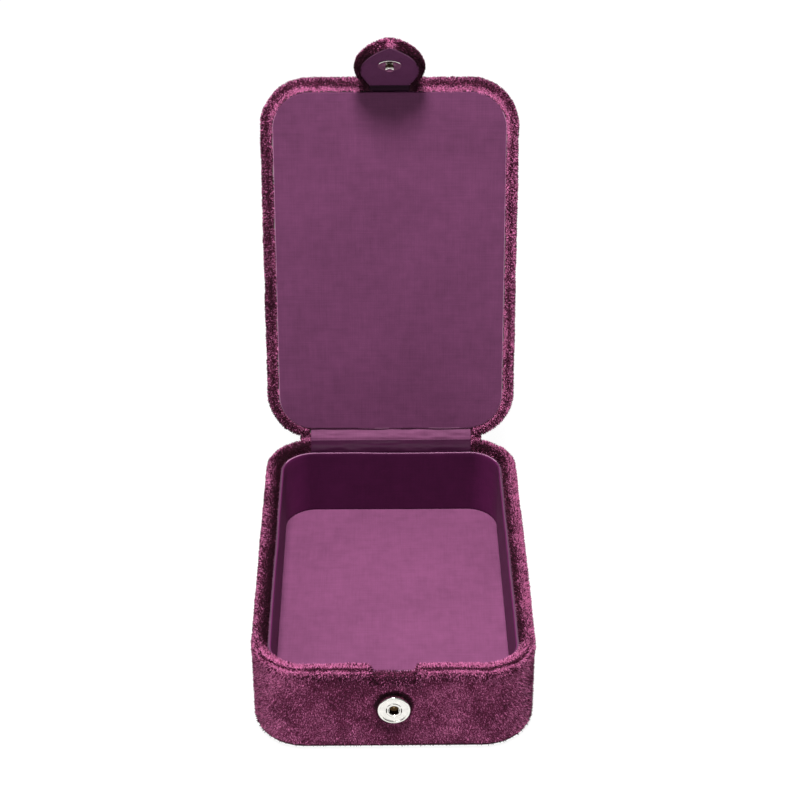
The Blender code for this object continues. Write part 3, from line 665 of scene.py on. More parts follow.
# the lid is padded, and its velvet swells outwards
lidSetup = {"step": 0.62 * mm, "sectionStep": 0.55 * mm, "thickness": 8 * mm, "low": 0.3 * mm,
            "edgeRound": 2.5 * mm, "border": 4.0 * mm, "wall": 0.9 * mm, "crown": 2.0 * mm,
            "panelStep": 4 * mm, "pressure": 4.0, "stiffness": 25, "frames": 20,
            "dents": ((0.10 * mm, 9 * mm, 11), (0.08 * mm, 2.6 * mm, 12)),
            "edgeDents": ((0.18 * mm, 1.4 * mm, 13), (0.13 * mm, 4 * mm, 14)),
            "slotHalf": 33.6 * mm, "slotPress": 1.5 * mm}
# painted light and shadow on the lid's border: at the far end a highlight line next to the liner with a dark
# line outside it, lighter and darker lines along the sides, the right side lighter, and painted shadow beside
# the tab's stem
borderShade = {"lines": ((0.46, 3.5 * mm, 1.1 * mm), (-0.24, 0.9 * mm, 1.2 * mm)),
               "sides": ((0.12, 3.8 * mm, 0.9 * mm), (-0.18, 2.2 * mm, 1.0 * mm)),
               "right": 0.08, "stem": -0.5, "wander": 0.45 * mm}


def lidFromFlat(points):  # from a closed lid's plan and height over its inner face to the open lid
    x, y, t = points.T
    return lidPlace(np.column_stack([x, halfDepth - y, t]))


def edgeDistance(x, s):  # how far in from the lid's outline
    return insetOf(x, halfDepth - s)


def padCrown():  # heights of the padded face over a coarse grid
    setup = lidSetup
    grid = roundedGrid(setup["border"], setup["panelStep"])
    index = gridIndex(grid)
    flat = grid.reshape(-1, 2)
    faces = np.stack([index[:-1, :-1], index[1:, :-1], index[1:, 1:], index[:-1, 1:]], -1).reshape(-1, 4)
    panel = meshPiece("padPanel", flatSpots(*flat.T), faces.tolist(), merge=1e-7)
    panel.vertex_groups.new(name="sewn").add(boundaryOf(grid).tolist(), 1.0, "REPLACE")
    cloth = panel.modifiers.new("stuffing", "CLOTH")
    cloth.settings.use_pressure = True
    cloth.settings.uniform_pressure_force = setup["pressure"]
    cloth.settings.tension_stiffness = cloth.settings.compression_stiffness = setup["stiffness"]
    cloth.settings.effector_weights.gravity = 0
    cloth.settings.vertex_group_mass = "sewn"
    cloth.point_cache.frame_end = setup["frames"]
    for frameNumber in range(1, setup["frames"] + 1):
        bpy.context.scene.frame_set(frameNumber)
    swollen = panel.evaluated_get(bpy.context.evaluated_depsgraph_get()).data
    rise = np.array([abs(vertex.co.z) for vertex in swollen.vertices])
    bpy.data.objects.remove(panel)
    bpy.context.scene.frame_set(1)
    print("padding rose", round(rise.max() / mm, 2), "mm")
    rise = setup["crown"] * np.tanh(rise / max(rise.max(), 1e-6) * 1.6)
    return grid, rise.reshape(index.shape)


def crownAt(grid, rise, points):  # bilinear over the grid's rows and columns
    rows, columns = rise.shape
    row = np.clip(np.interp(points[:, 1], grid[:, 0, 1], np.arange(rows)), 0, rows - 1.001)
    wide = np.interp(row, np.arange(rows), grid[:, -1, 0])
    column = np.clip((points[:, 0] / wide + 1) / 2 * (columns - 1), 0, columns - 1.001)
    i, j = row.astype(int), column.astype(int)
    a, b = row - i, column - j
    return ((1 - a) * (1 - b) * rise[i, j] + a * (1 - b) * rise[i + 1, j]
            + (1 - a) * b * rise[i, j + 1] + a * b * rise[i + 1, j + 1])


def ribbonSlot(points):  # the border is pressed back where the ribbon crosses it
    x, s, t = lidLocal(points)
    half = lidSetup["slotHalf"]
    slot = (1 - smoothStep(half, half + 1.4 * mm, np.abs(x))) * (1 - smoothStep(4.6 * mm, 5.6 * mm, s))
    share = slot * (1 - smoothStep(2.2 * mm, 3.2 * mm, t)) * smoothStep(0.6 * mm, 2.0 * mm, s)
    return lidPlace(np.column_stack([x, s, t + share * lidSetup["slotPress"]]))


# painted highlights and painted shadows for the lid's velvet, on its inner side only
def lidShade(points):
    setup = borderShade
    x, s, t = lidLocal(points)
    edge = edgeDistance(x, s) + setup["wander"] * softNoise(points, 5 * mm, 7)
    far = smoothStep(depth - 30 * mm, depth - 8 * mm, s)
    inner = 1 - smoothStep(1.5 * mm, 4 * mm, t)
    sides = stripes(edge, setup["sides"]) + setup["right"] * np.clip(x / halfWidth, -1, 1)
    stem = far * (1 - smoothStep(9 * mm, 13 * mm, np.abs(x)))
    paintedShading = far * stripes(edge, setup["lines"]) + (1 - far) * sides
    return inner * (paintedShading * (1 - stem) + setup["stem"] * stem)


def lidRelief(points):
    x, s, t = lidLocal(points)
    edge = edgeDistance(x, s)
    hidden = (t > 0.9 * mm) & (edge > 0.8 * mm) & (t < 7 * mm)
    roll = 1 - smoothStep(4.5 * mm, 8 * mm, edge)
    height = noises(points, lidSetup["dents"]) + roll * noises(points, lidSetup["edgeDents"])
    return height * ((t > lidSetup["low"] - mm) & ~hidden)


def makeLidVelvet():
    setup = lidSetup
    border, top, low, wall = setup["border"], setup["thickness"], setup["low"], setup["wall"]
    bend = setup["edgeRound"]
    outside = [(0, top)] + arcPoints((border - bend, top - bend), bend, 90, 0, 8)
    outside += arcPoints((border - bend, low + bend), bend, 0, -90, 8) + [(0.15 * mm, low)]
    outside, _ = evenSteps(outside, setup["sectionStep"])
    inside = [(0, low + 0.3 * mm), (0, low + wall), (border - bend, low + wall), (border - wall, low + bend),
              (border - wall, top - bend), (border - bend, top - wall), (0, top - wall)]
    coarse, rise = padCrown()

    def place(points):
        crown = crownAt(coarse, rise, points) * smoothStep(top - 0.5 * mm, top, points[:, 2])
        return lidFromFlat(points + np.column_stack([np.zeros((len(points), 2)), crown]))

    velvet = slabFromGrid("velvet_lid", roundedGrid(border, setup["step"]), outside.tolist() + inside, place,
                          backGrid=False)
    sculpt(velvet, lidRelief)
    move(velvet, ribbonSlot)
    markPoints(velvet.data, "paintedShading", lidShade)
    return coat(velvet, velvetRim)


def lidBorderShare(points):
    x, s, t = lidLocal(points)
    edge = edgeDistance(x, s)
    outerSkin = (t < 0.6 * mm) | (edge < 0.75 * mm) | (t > 7.2 * mm)
    strap = (np.abs(x) < 9.4 * mm) & (s > depth - 6 * mm) & (t < 2.0 * mm)
    ribbon = (np.abs(x) < 33 * mm) & (s < 5 * mm) & (t < 2.2 * mm)
    return outerSkin * (edge < 4.3 * mm) * ~strap * ~ribbon * 1.0


def lidTopShare(points):
    x, s, t = lidLocal(points)
    return ((t > lidSetup["thickness"] - 0.6 * mm) & (edgeDistance(x, s) > lidSetup["border"])) * 1.0


velvetBase = makeBaseVelvet()
print("base velvet has", len(velvetBase.data.polygons), "faces")
velvetLid = makeLidVelvet()
print("lid velvet has", len(velvetLid.data.polygons), "faces")
for piece, body, node in ((velvetBase, "base", "base_velvet_cover"), (velvetLid, "lid", "lid_velvet_cover")):
    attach(piece, body)
    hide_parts(node)

for name, ground, share, body, settings in (
        ("pile_base_rim", velvetBase, rimShare, "base", {**rimPile, "Density": 6.5e6, "Seed": 11}),
        ("pile_base_walls", velvetBase, wallShare, "base", {**wallPile, "Density": 2.8e6, "Seed": 12}),
        ("pile_lid_border", velvetLid, lidBorderShare, "lid", {**rimPile, "Density": 5.5e6, "Seed": 13}),
        ("pile_lid_top", velvetLid, lidTopShare, "lid", {**wallPile, "Density": 3.0e6, "Seed": 14})):
    tufts = growPile(name, ground, share, settings)
    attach(tufts, body)


# colours, and where a cloth differs from the others: flatter threads, less sheen or lighter sides
clothSetup = {
    "floorCloth": {"colour": (0.175, 0.051, 0.124)},
    "lidCloth": {"colour": (0.100, 0.0275, 0.073)},
    "wallCloth": {"colour": (0.045, 0.0048, 0.0300), "sheen": 0.03, "sides": 2.3},
    # a painted highlight on the folded edges of the liner and the tray
    "foldHighlightCloth": {"colour": (0.34, 0.16, 0.27), "slub": 0.5},
    # a dimmer painted highlight on the tray's fold along the sides
    "dimFoldHighlightCloth": {"colour": (0.105, 0.041, 0.080), "slub": 0.5},
    # painted shadow on the tab's strap before the crease
    "strapShadowCloth": {"colour": (0.012, 0.002, 0.009), "slub": 0.5, "sheen": 0.02},
    "ribbonCloth": {"colour": (0.150, 0.045, 0.106)},
    # painted shadow for the ribbon under the liner's edge and past the crease
    "ribbonShadowCloth": {"colour": (0.030, 0.0040, 0.020), "sheen": 0.03},
    "tabCloth": {"colour": (0.066, 0.014, 0.052), "slub": 0.6},
    # a painted highlight on the tab lining's folded edge
    "tabFoldHighlightCloth": {"colour": (0.19, 0.075, 0.15), "slub": 0.5},
}
weaveSetup = {"thread": 0.42 * mm, "slub": 0.5 * mm, "blotch": 5 * mm, "cloud": 28 * mm, "contrast": 0.20,
              "spread": 0.16, "relief": 0.10 * mm, "roughness": 0.62, "sheenTint": (1.0, 0.45, 0.78, 1)}


def makeCloth(name, colour, slub=1.0, sheen=0.12, sides=None):
    setup = weaveSetup
    material, tree, shader = newMaterial(name, setup["roughness"])
    flat = put(tree, "ShaderNodeUVMap", uv_map="cloth").outputs["UV"]
    place = objectPlace(tree)
    warp = noiseOf(tree, flat, setup["slub"], stretch=(1, 0.035, 1))
    weft = noiseOf(tree, flat, setup["slub"], stretch=(0.03, 1, 1))
    blotch = noiseOf(tree, flat, setup["blotch"], 3)
    cloudy = noiseOf(tree, place, setup["cloud"], 3)
    value = sumOf(tree, (cloudy, 0.30), (warp, 0.22 * slub), (weft, 0.26 * slub), (blotch, 0.30))
    centre, spread = (0.6 + 0.48 * slub) / 2, setup["spread"]
    dark = tuple(c * (1 - setup["contrast"]) for c in colour)
    light = tuple(c * (1 + setup["contrast"]) for c in colour)
    tone = rampOf(tree, value, [(centre - spread, dark), (centre, colour), (centre + spread, light)])
    if sides:  # lighter towards the left and the right
        across = put(tree, "ShaderNodeSeparateXYZ", {"Vector": place}).outputs["X"]
        share = put(tree, "ShaderNodeMapRange", {
            "Value": mathOf(tree, "ABSOLUTE", across), "From Min": 34 * mm, "From Max": 44 * mm,
            "To Min": 1.0, "To Max": sides}).outputs["Result"]
        tone = vectorOf(tree, "SCALE", tone, share)
    tree.links.new(tone, shader.inputs["Base Color"])
    split = put(tree, "ShaderNodeSeparateXYZ", {"Vector": flat}).outputs
    turn = 2 * math.pi / setup["thread"]
    waves = [mathOf(tree, "SINE", mathOf(tree, "MULTIPLY", split[axis], turn)) for axis in ("X", "Y")]
    height = sumOf(tree, (mathOf(tree, "MULTIPLY", *waves), 0.12), (warp, 0.6), (weft, 0.6), (blotch, 0.5))
    addBump(tree, shader, height, setup["relief"], 0.5)
    addSheen(shader, sheen, 0.5, setup["sheenTint"], 0.08)
    return material


cloths = {name: makeCloth(name, **setup) for name, setup in clothSetup.items()}
linerSetup = {"inset": 4.3 * mm, "thickness": 1.3 * mm, "edge": 0.5 * mm, "step": 1.1 * mm,
              "highlightWidth": 0.30 * mm, "hingeEdge": 0.45 * mm,
              "waves": ((0.14 * mm, 24 * mm, 21), (0.05 * mm, 7 * mm, 22))}


def makeLidLiner():
    setup = linerSetup
    section = roundSection(setup["edge"], 0.0, -setup["thickness"], 4)

    def place(points):
        x, y, up = points.T
        spot = flatSpots(x, y)
        up = up + noises(spot, setup["waves"])
        hingeEdge = smoothStep(halfDepth - 8 * mm, halfDepth - 4.5 * mm, y)
        y = y + hingeEdge * setup["hingeEdge"] * softNoise(spot, 13 * mm, 23)
        return lidFromFlat(np.column_stack([x, y, -up]))

    def onEdge(face):  # a painted highlight on the fold all round, but for the far end
        x, s, t = lidLocal(np.array([face.center]))
        near = edgeDistance(x, s)[0] < setup["inset"] + setup["highlightWidth"]
        return near and t[0] < 0.55 * mm and s[0] < depth - 12 * mm

    grid = roundedGrid(setup["inset"] + setup["edge"], setup["step"])
    liner = slabFromGrid("lid_lining", grid, section, place)
    return coat(liner, cloths["lidCloth"], cloths["foldHighlightCloth"], choose=onEdge)


traySetup = {"outer": 5.2 * mm, "inner": 6.42 * mm, "top": trayHigh.z, "low": trayLow.z, "cloth": 0.3 * mm,
             "bend": 0.4 * mm, "turn": 14 * mm, "step": 1.3 * mm, "notchDip": 1.5 * mm,
             "highlightBand": (5.50 * mm, 5.82 * mm), "wave": 0.28 * mm, "sway": 0.22 * mm}
trayFloorSetup = {"edge": 0.35 * mm, "step": 1.2 * mm, "thickness": 0.9 * mm, "wave": 0.10 * mm}


def trayWaves(points):  # the top edge rises and falls a little, and dips behind the notch
    setup = traySetup
    x, y, z = points.T
    upper = smoothStep(setup["top"] - 9 * mm, setup["top"], z)
    front = y < -halfDepth + 12 * mm
    dip = front * (1 - smoothStep(8 * mm, 10.2 * mm, np.abs(x))) * (setup["notchDip"] - 0.02 * x)
    z = z + upper * (setup["wave"] * softNoise(flatSpots(x, y), 17 * mm, 31) - dip)
    sway = setup["sway"] * upper * softNoise(points, 21 * mm, 32)
    return np.column_stack([x * (1 + sway / halfWidth), y * (1 + sway / halfDepth), z])


def makeTrayWall():
    setup = traySetup
    outer, inner, top, low, bend = (setup[key] for key in ("outer", "inner", "top", "low", "bend"))
    section = [(outer, top - setup["turn"]), (outer, top - 6 * mm)]
    section += arcPoints((outer + bend, top - bend), bend, 180, 90, 3)
    section += arcPoints((inner - bend, top - bend), bend, 90, 0, 4)
    section += [(inner, z) for z in np.linspace(top - 2 * mm, low, 16)]
    under = top - setup["cloth"]
    section += [(inner - setup["cloth"] / 2, low), (inner - setup["cloth"] / 2, under)]
    section += [(outer + setup["cloth"], under), (outer + setup["cloth"], top - setup["turn"])]

    def foldOf(face):  # the fold over the top gets a painted highlight, bright at the front and back and dimmer along the sides
        inset = insetOf(*np.array(face.center[:2]))
        if face.center.z < top - 0.3 * mm or inset > setup["highlightBand"][1]:
            return 0
        return 2 if abs(face.center.x) > halfWidth - 7 * mm else inset > setup["highlightBand"][0]

    cloth = sweptWall("tray_lining", section, setup["step"])
    coat(cloth, cloths["wallCloth"], cloths["foldHighlightCloth"], cloths["dimFoldHighlightCloth"], choose=foldOf)
    move(cloth, trayWaves)
    return cloth


def makeTrayFloor():
    setup = trayFloorSetup
    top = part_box("tray_floor_cloth")[1].z
    section = roundSection(setup["edge"], top, top - setup["thickness"], 3)

    def place(points):
        x, y, z = points.T
        return np.column_stack([x, y, z + setup["wave"] * softNoise(flatSpots(x, y), 26 * mm, 35)])

    grid = roundedGrid(traySetup["inner"] + setup["edge"], setup["step"])
    return coat(slabFromGrid("tray_floor_lining", grid, section, place), cloths["floorCloth"])


lidLining = makeLidLiner()
trayLining = makeTrayWall()
floorLining = makeTrayFloor()
for piece, body, node in ((lidLining, "lid", "lid_liner_cloth"), (trayLining, "base", "tray_wall_cloth"),
                          (floorLining, "base", "tray_floor_cloth")):
    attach(piece, body)
    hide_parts(node)
print("linings are in")


def lidSide(s, t):  # a point of the lid's side view in millimetres, as (y, z)
    return tuple(lidPlace((0, s * mm, t * mm))[1:])


def rimSide(y, z):  # a point of the base's side view in millimetres from the back wall and the rim's top
    return backWall + y * mm, rimTop + z * mm


def smoothRoute(points, rounds=3):  # cuts the corners of an open line of points
    points = np.array(points, float)
    for _ in range(rounds):
        near = points[:-1] * 0.75 + points[1:] * 0.25
        far = points[:-1] * 0.25 + points[1:] * 0.75
        points = np.concatenate([points[:1], np.stack([near, far], 1).reshape(-1, 2), points[-1:]])
    return points


def stripOf(name, route, setup, relief, follow=0.0):  # a strip along a route, and the length of the route
    route, run = evenSteps(smoothRoute(route), setup["step"])
    along = np.gradient(route, run, axis=0)
    along /= np.linalg.norm(along, axis=1)[:, None]
    side = np.column_stack([along[:, 1], -along[:, 0]])
    half, thickness = setup["halfWidth"], setup["thickness"]
    columns = np.linspace(-half, half, round(2 * half / setup["stepAcross"]) + 1)
    grid = np.array([[(x, r) for x in columns] for r in run])

    def place(points):
        x, r, height = points.T
        height = height + relief(x, r)
        y, z, sideY, sideZ = (np.interp(r, run, values) for values in (*route.T, *side.T))
        bend = np.clip(np.abs(x) - cornerX, 0, cornerRadius)
        back = follow * (cornerRadius - np.sqrt(cornerRadius ** 2 - bend ** 2))
        return np.column_stack([x, y + sideY * height - back, z + sideZ * height])

    section = roundSection(thickness / 2 - 0.01 * mm, thickness / 2, -thickness / 2, 2)
    return slabFromGrid(name, grid, section, place), run[-1]


# shown is the span in the ribbon's lit colour; outside it the ribbon wears painted shadow
ribbonSetup = {"halfWidth": 33.4 * mm, "thickness": 0.35 * mm, "step": 0.4 * mm, "stepAcross": 1.0 * mm,
               "shown": (5.4 * mm, 10.9 * mm), "crease": 0.5 * mm, "pucker": 0.22 * mm,
               "folds": ((0.22 * mm, 1.6 * mm, 41), (0.14 * mm, 0.8 * mm, 42))}
webSetup = {"halfWidth": 37.6 * mm, "thickness": 0.7 * mm, "step": 0.4 * mm, "stepAcross": 1.0 * mm,
            "dents": ((0.08 * mm, 1.5 * mm, 45),)}


def makeRibbon():
    setup = ribbonSetup
    first, crease = setup["shown"]
    route = [lidSide(10, 1.62), lidSide(4.9, 1.6), lidSide(3.7, 0.9), lidSide(2.4, 0.0), lidSide(0.7, -0.7),
             rimSide(-1.5, -0.35), rimSide(-2.3, -0.95), rimSide(-3.7, -1.25), rimSide(-4.75, -2.6),
             rimSide(-4.8, -5), rimSide(-4.8, -13)]

    def relief(x, r):
        folds = noises(flatSpots(x * 0.22, r), setup["folds"])
        pucker = setup["pucker"] * bump(x, 1 * mm, 3 * mm)
        free = smoothStep(5.5 * mm, 7 * mm, r) * (1 - smoothStep(15 * mm, 18 * mm, r))
        return (folds + pucker) * free - setup["crease"] * bump(r, crease, 0.45 * mm)

    ribbon, length = stripOf("hinge_ribbon", route, setup, relief)

    # painted shadow under the liner's edge, and past the crease where the ribbon turns away from the light
    def inPaintedShadow(face):
        return not first <= clothSpot(ribbon, face)[1] <= crease

    return coat(ribbon, cloths["ribbonCloth"], cloths["ribbonShadowCloth"], choose=inPaintedShadow), length


def makeHingeWeb():  # the velvet that joins lid and base behind the ribbon
    route = [rimSide(0.35, -6), rimSide(0.35, -2.6), rimSide(0.15, -1.2), rimSide(0.3, -0.5),
             lidSide(-0.3, 1.2), lidSide(-0.35, 2.4), lidSide(-0.35, 5.6)]
    web, _ = stripOf("velvet_hinge", route, webSetup, lambda x, r: noises(flatSpots(x, r), webSetup["dents"]),
                     follow=0.8)
    return coat(web, velvetRim)


ribbon, ribbonLength = makeRibbon()
web = makeHingeWeb()
webPile = growPile("pile_hinge", web, lambda points: (points[:, 1] > backWall + 0.3 * mm) * 1.0,
                   {**rimPile, "Density": 5e6, "Length": 0.55 * mm, "Lean": 1.0, "Patch": 2 * mm, "Seed": 15})
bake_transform(ribbon)
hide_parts("hinge_ribbon_base_end", "hinge_ribbon_lid_end")
for piece in (web, webPile):
    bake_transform(piece)
print("hinge ribbon and velvet hinge are in")


# the tab lies along the lid's far edge, and bends at a crease just outside it
tabSetup = {"creaseBack": 1.5 * mm, "creaseHeight": -0.2 * mm, "length": 35.9 * mm, "widest": 13.2 * mm,
            "half": 11.5 * mm, "stemHalf": 7.9 * mm, "thickness": 2.8 * mm, "strapThickness": 1.5 * mm,
            "strapEnd": 6.4 * mm, "tuck": 8.0 * mm, "under": 1.9 * mm,
            "dents": ((0.14 * mm, 1.4 * mm, 51), (0.10 * mm, 4 * mm, 52))}
tabVelvetSetup = {"more": -0.3 * mm, "tip": 0.972, "rounding": 0.74, "step": 0.55 * mm}
tabClothSetup = {"more": -0.3 * mm, "tip": 0.95, "rounding": 1.0, "step": 0.8 * mm}
# painted light and shadow on the tab's velvet: highlights at the tip and along the upper left, and the rest
# darkened as painted shadow, more so near the crease
tabEdgeShade = {"tip": 0.34, "left": 0.30, "rest": -0.52, "crease": -0.25}
creaseS = depth - tabSetup["creaseBack"]
creaseT = tabSetup["creaseHeight"]
tabAlong = np.array([math.cos(tabBend), -math.sin(tabBend)])
tabOut = np.array([math.sin(tabBend), math.cos(tabBend)])


def tabLocal(points):  # across, along from the crease, and out of the cloth's plane
    x, s, t = lidLocal(points)
    c = (s - creaseS) * tabAlong[0] + (t - creaseT) * tabAlong[1]
    return x, c, (s - creaseS) * tabOut[0] + (t - creaseT) * tabOut[1]


def tabHalf(c, more=0.0, tip=1.0, rounding=1.0):  # half the tab's width at distance c from its crease
    setup = tabSetup
    c = np.asarray(c, float)
    wide, stem, widest = setup["half"] + more, setup["stemHalf"] + more, setup["widest"]
    flare = stem + (wide - stem) * np.sin(np.clip(c / widest, 0, 1) * math.pi / 2)
    reach = np.clip((c - widest) / (setup["length"] * tip - widest), 0, 1)
    return np.where(c < widest, flare, wide * (1 - reach ** 2.1) ** rounding)


def tabRoute(c):  # side view: over the lid's border up to the crease, then straight out along the tab
    under = smoothStep(-1.7 * mm, -3.4 * mm, c) * tabSetup["under"]
    onLid = np.column_stack([creaseS + c, creaseT + under])
    outward = np.array([creaseS, creaseT]) + c[:, None] * tabAlong
    return np.where(c[:, None] < 0, onLid, outward)


def tabPlace(points, thick):  # thick(c) is the tab's thickness at distance c
    x, c, height = points.T
    lean = smoothStep(-0.7 * mm, 0.7 * mm, c)[:, None]
    out = (1 - lean) * np.array([0.0, 1.0]) + lean * tabOut
    out /= np.linalg.norm(out, axis=1)[:, None]
    deep = np.where(height < 0, height * (thick(c) / tabSetup["thickness"]), height)
    return lidPlace(np.column_stack([x, tabRoute(c) - out * deep[:, None]]))


def tabThickness(c):
    setup = tabSetup
    full = smoothStep(setup["strapEnd"] - 1.5 * mm, setup["strapEnd"] + 2.5 * mm, c)
    return setup["strapThickness"] + (setup["thickness"] - setup["strapThickness"]) * full


def tabGrid(more, tip, rounding, step):
    end, close = tabSetup["length"] * tip, 4 * mm
    straight = np.arange(-tabSetup["tuck"], end - close, step)
    rows = np.concatenate([straight, end - close * np.linspace(1, 0.03, 13) ** 1.4])
    half = tabHalf(rows, more, tip, rounding)
    return np.array([[(w * column, c) for column in np.linspace(-1, 1, 41)] for c, w in zip(rows, half)])


# painted highlights and painted shadows for the tab's velvet, fading out towards the tab's back
def tabShade(points):
    setup = tabEdgeShade
    x, c, height = tabLocal(points)
    tip = bump(x, 0.3 * mm, 2.2 * mm) * smoothStep(30 * mm, 33 * mm, c)
    left = bump(x, -5 * mm, 2.6 * mm) * smoothStep(27 * mm, 30 * mm, c)
    crease = 1 - smoothStep(0, 5 * mm, c)
    edge = setup["tip"] * tip + setup["left"] * left + setup["rest"] * (1 - tip) + setup["crease"] * crease
    return edge * (1 - smoothStep(1.5 * mm, 2.5 * mm, height))


def makeTabVelvet():
    body = tabSetup["thickness"]
    section = [(0, -0.75 * mm), (0.35 * mm, -0.72 * mm), (0.45 * mm, -0.1 * mm)]
    section += arcPoints((0.95 * mm, -0.15 * mm), 0.4 * mm, 140, 60, 3)
    section += arcPoints((0.95 * mm, -0.85 * mm), 0.85 * mm, 60, 0, 4)
    section += arcPoints((0.8 * mm, -body + mm), mm, 0, -80, 5) + [(0, -body)]
    velvet = slabFromGrid("tab_cover", tabGrid(**tabVelvetSetup), section,
                          lambda points: tabPlace(points, tabThickness))
    sculpt(velvet, lambda points: noises(points, tabSetup["dents"]))
    markPoints(velvet.data, "paintedShading", tabShade)
    return coat(velvet, velvetRim)


def makeTabCloth():
    def place(points):
        wave = 0.07 * mm * softNoise(flatSpots(*points[:, :2].T), 6 * mm, 55)
        lifted = np.column_stack([points[:, :2], points[:, 2] + wave])
        return tabPlace(lifted, lambda c: np.full(len(c), tabSetup["thickness"]))

    section = roundSection(0.3 * mm, 0.15 * mm, -0.55 * mm, 3)
    cloth = slabFromGrid("tab_lining", tabGrid(**tabClothSetup), section, place)

    def partOf(face):  # the face, the painted highlight on its edge, or the painted shadow on the strap before the crease
        x, c = clothSpot(cloth, face)
        return abs(x) > tabHalf(c, tip=tabClothSetup["tip"]) - 0.22 * mm if c > 0.3 * mm else 2

    return coat(cloth, cloths["tabCloth"], cloths["tabFoldHighlightCloth"], cloths["strapShadowCloth"], choose=partOf)


def tabShare(points):
    x, c, height = tabLocal(points)
    onFace = (height < 0.7 * mm) & (np.abs(x) < tabHalf(c, 0.15 * mm, 0.97))
    return ((c > 0.8 * mm) & ~onFace) * 1.0


tabCover = makeTabVelvet()
tabLining = makeTabCloth()
tabPile = growPile("pile_tab", tabCover, tabShare, {**rimPile, "Density": 11e6, "Lean": 1.0, "Seed": 16})
for piece, slot in ((tabCover, "velvet"), (tabLining, "lining_cloth"), (tabPile, "velvet")):
    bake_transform(piece)
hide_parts("tab_velvet", "tab_strap")
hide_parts("tab_liner")
print("tab is in")


snapSetup = {"radius": 5.9 * mm, "rim": 2.6 * mm, "roll": 0.5 * mm, "face": 2.25 * mm, "bore": 2.05 * mm,
             "lip": 0.2 * mm, "groove": 0.7 * mm, "sheet": 0.3 * mm, "floor": 0.3 * mm,
             "backRound": 0.45 * mm, "slit": (0.34 * mm, 2.0 * mm, 1.6 * mm), "slitOut": 2.62 * mm}
studSetup = {"ball": 0.42 * mm, "ballOut": 1.4 * mm, "ballLevel": 1.78 * mm, "neck": 1.1 * mm,
             "plate": 4.35 * mm, "plateEdge": 0.24 * mm, "sunk": 0.18 * mm}
rivetSetup = {"dome": 0.54 * mm, "level": 0.6 * mm, "barrel": 1.25 * mm, "flange": 3.3 * mm,
              "flangeLevel": -3.5 * mm, "sheet": 0.3 * mm}
metalSetup = {
    "platedSteel": {"colour": (0.82, 0.805, 0.76), "roughness": 0.16, "smear": 0.08},
    # painted shadow for the snap's hollows: the bore, the slits and the stud's neck
    "shadowSteel": {"colour": (0.045, 0.030, 0.018), "roughness": 0.45, "smear": 0.10},
    # a painted highlight for the top of the rivet's dome
    "brassHighlight": {"colour": (0.50, 0.33, 0.14), "roughness": 0.28, "smear": 0.10},
    "dullBrass": {"colour": (0.085, 0.050, 0.022), "roughness": 0.40, "smear": 0.10},
}


def makeMetal(name, colour, roughness, smear):
    material, tree, shader = newMaterial(name, roughness, 1.0)
    place = objectPlace(tree)
    broad = noiseOf(tree, place, 1.6 * mm, 3)
    fine = noiseOf(tree, place, 0.22 * mm, 3)
    tone = rampOf(tree, broad, [(0.3, tuple(c * 0.86 for c in colour)), (0.7, colour)])
    tree.links.new(tone, shader.inputs["Base Color"])
    smears = sumOf(tree, (broad, smear), (fine, smear * 0.5))
    rough = mathOf(tree, "MULTIPLY_ADD", smears, 1.0, roughness - smear * 0.75)
    tree.links.new(rough, shader.inputs["Roughness"])
    addBump(tree, shader, fine, 0.01 * mm, 0.35)
    return material


metals = {name: makeMetal(name, **setup) for name, setup in metalSetup.items()}


def frontPlace():  # a turned shape's own axis out of the front wall at the snap
    return Matrix.Translation((0, -halfDepth, snapHeight)) @ Matrix.Rotation(math.radians(90), 4, "X")


def studPlace():  # a turned shape's own axis out of the tab's cloth at the stud
    middle = np.array(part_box("snap_stud")).mean(0)
    c = tabLocal(np.array([middle]))[1][0]
    base = np.array([creaseS, creaseT]) + c * tabAlong - studSetup["sunk"] * tabOut
    origin = Vector(lidPlace((0, *base)))
    ahead = Vector(lidPlace((0, *(base - tabOut * mm)))) - origin
    return Matrix.Translation(origin) @ ahead.to_track_quat("Z", "X").to_matrix().to_4x4()


def cutSlit(socket, side):
    shape = bmesh.new()
    bmesh.ops.create_cube(shape, size=1)
    mesh = bpy.data.meshes.new("slit")
    shape.to_mesh(mesh)
    shape.free()
    place = Matrix.Translation((side * snapSetup["slitOut"], 0, snapSetup["face"]))
    mesh.transform(frontPlace() @ place @ Matrix.Diagonal((*snapSetup["slit"], 1)))
    slit = addPiece("slit", mesh)
    cut = socket.modifiers.new("slit", "BOOLEAN")
    cut.operation = "DIFFERENCE"
    cut.object = slit
    bake(socket)
    bpy.data.objects.remove(slit)


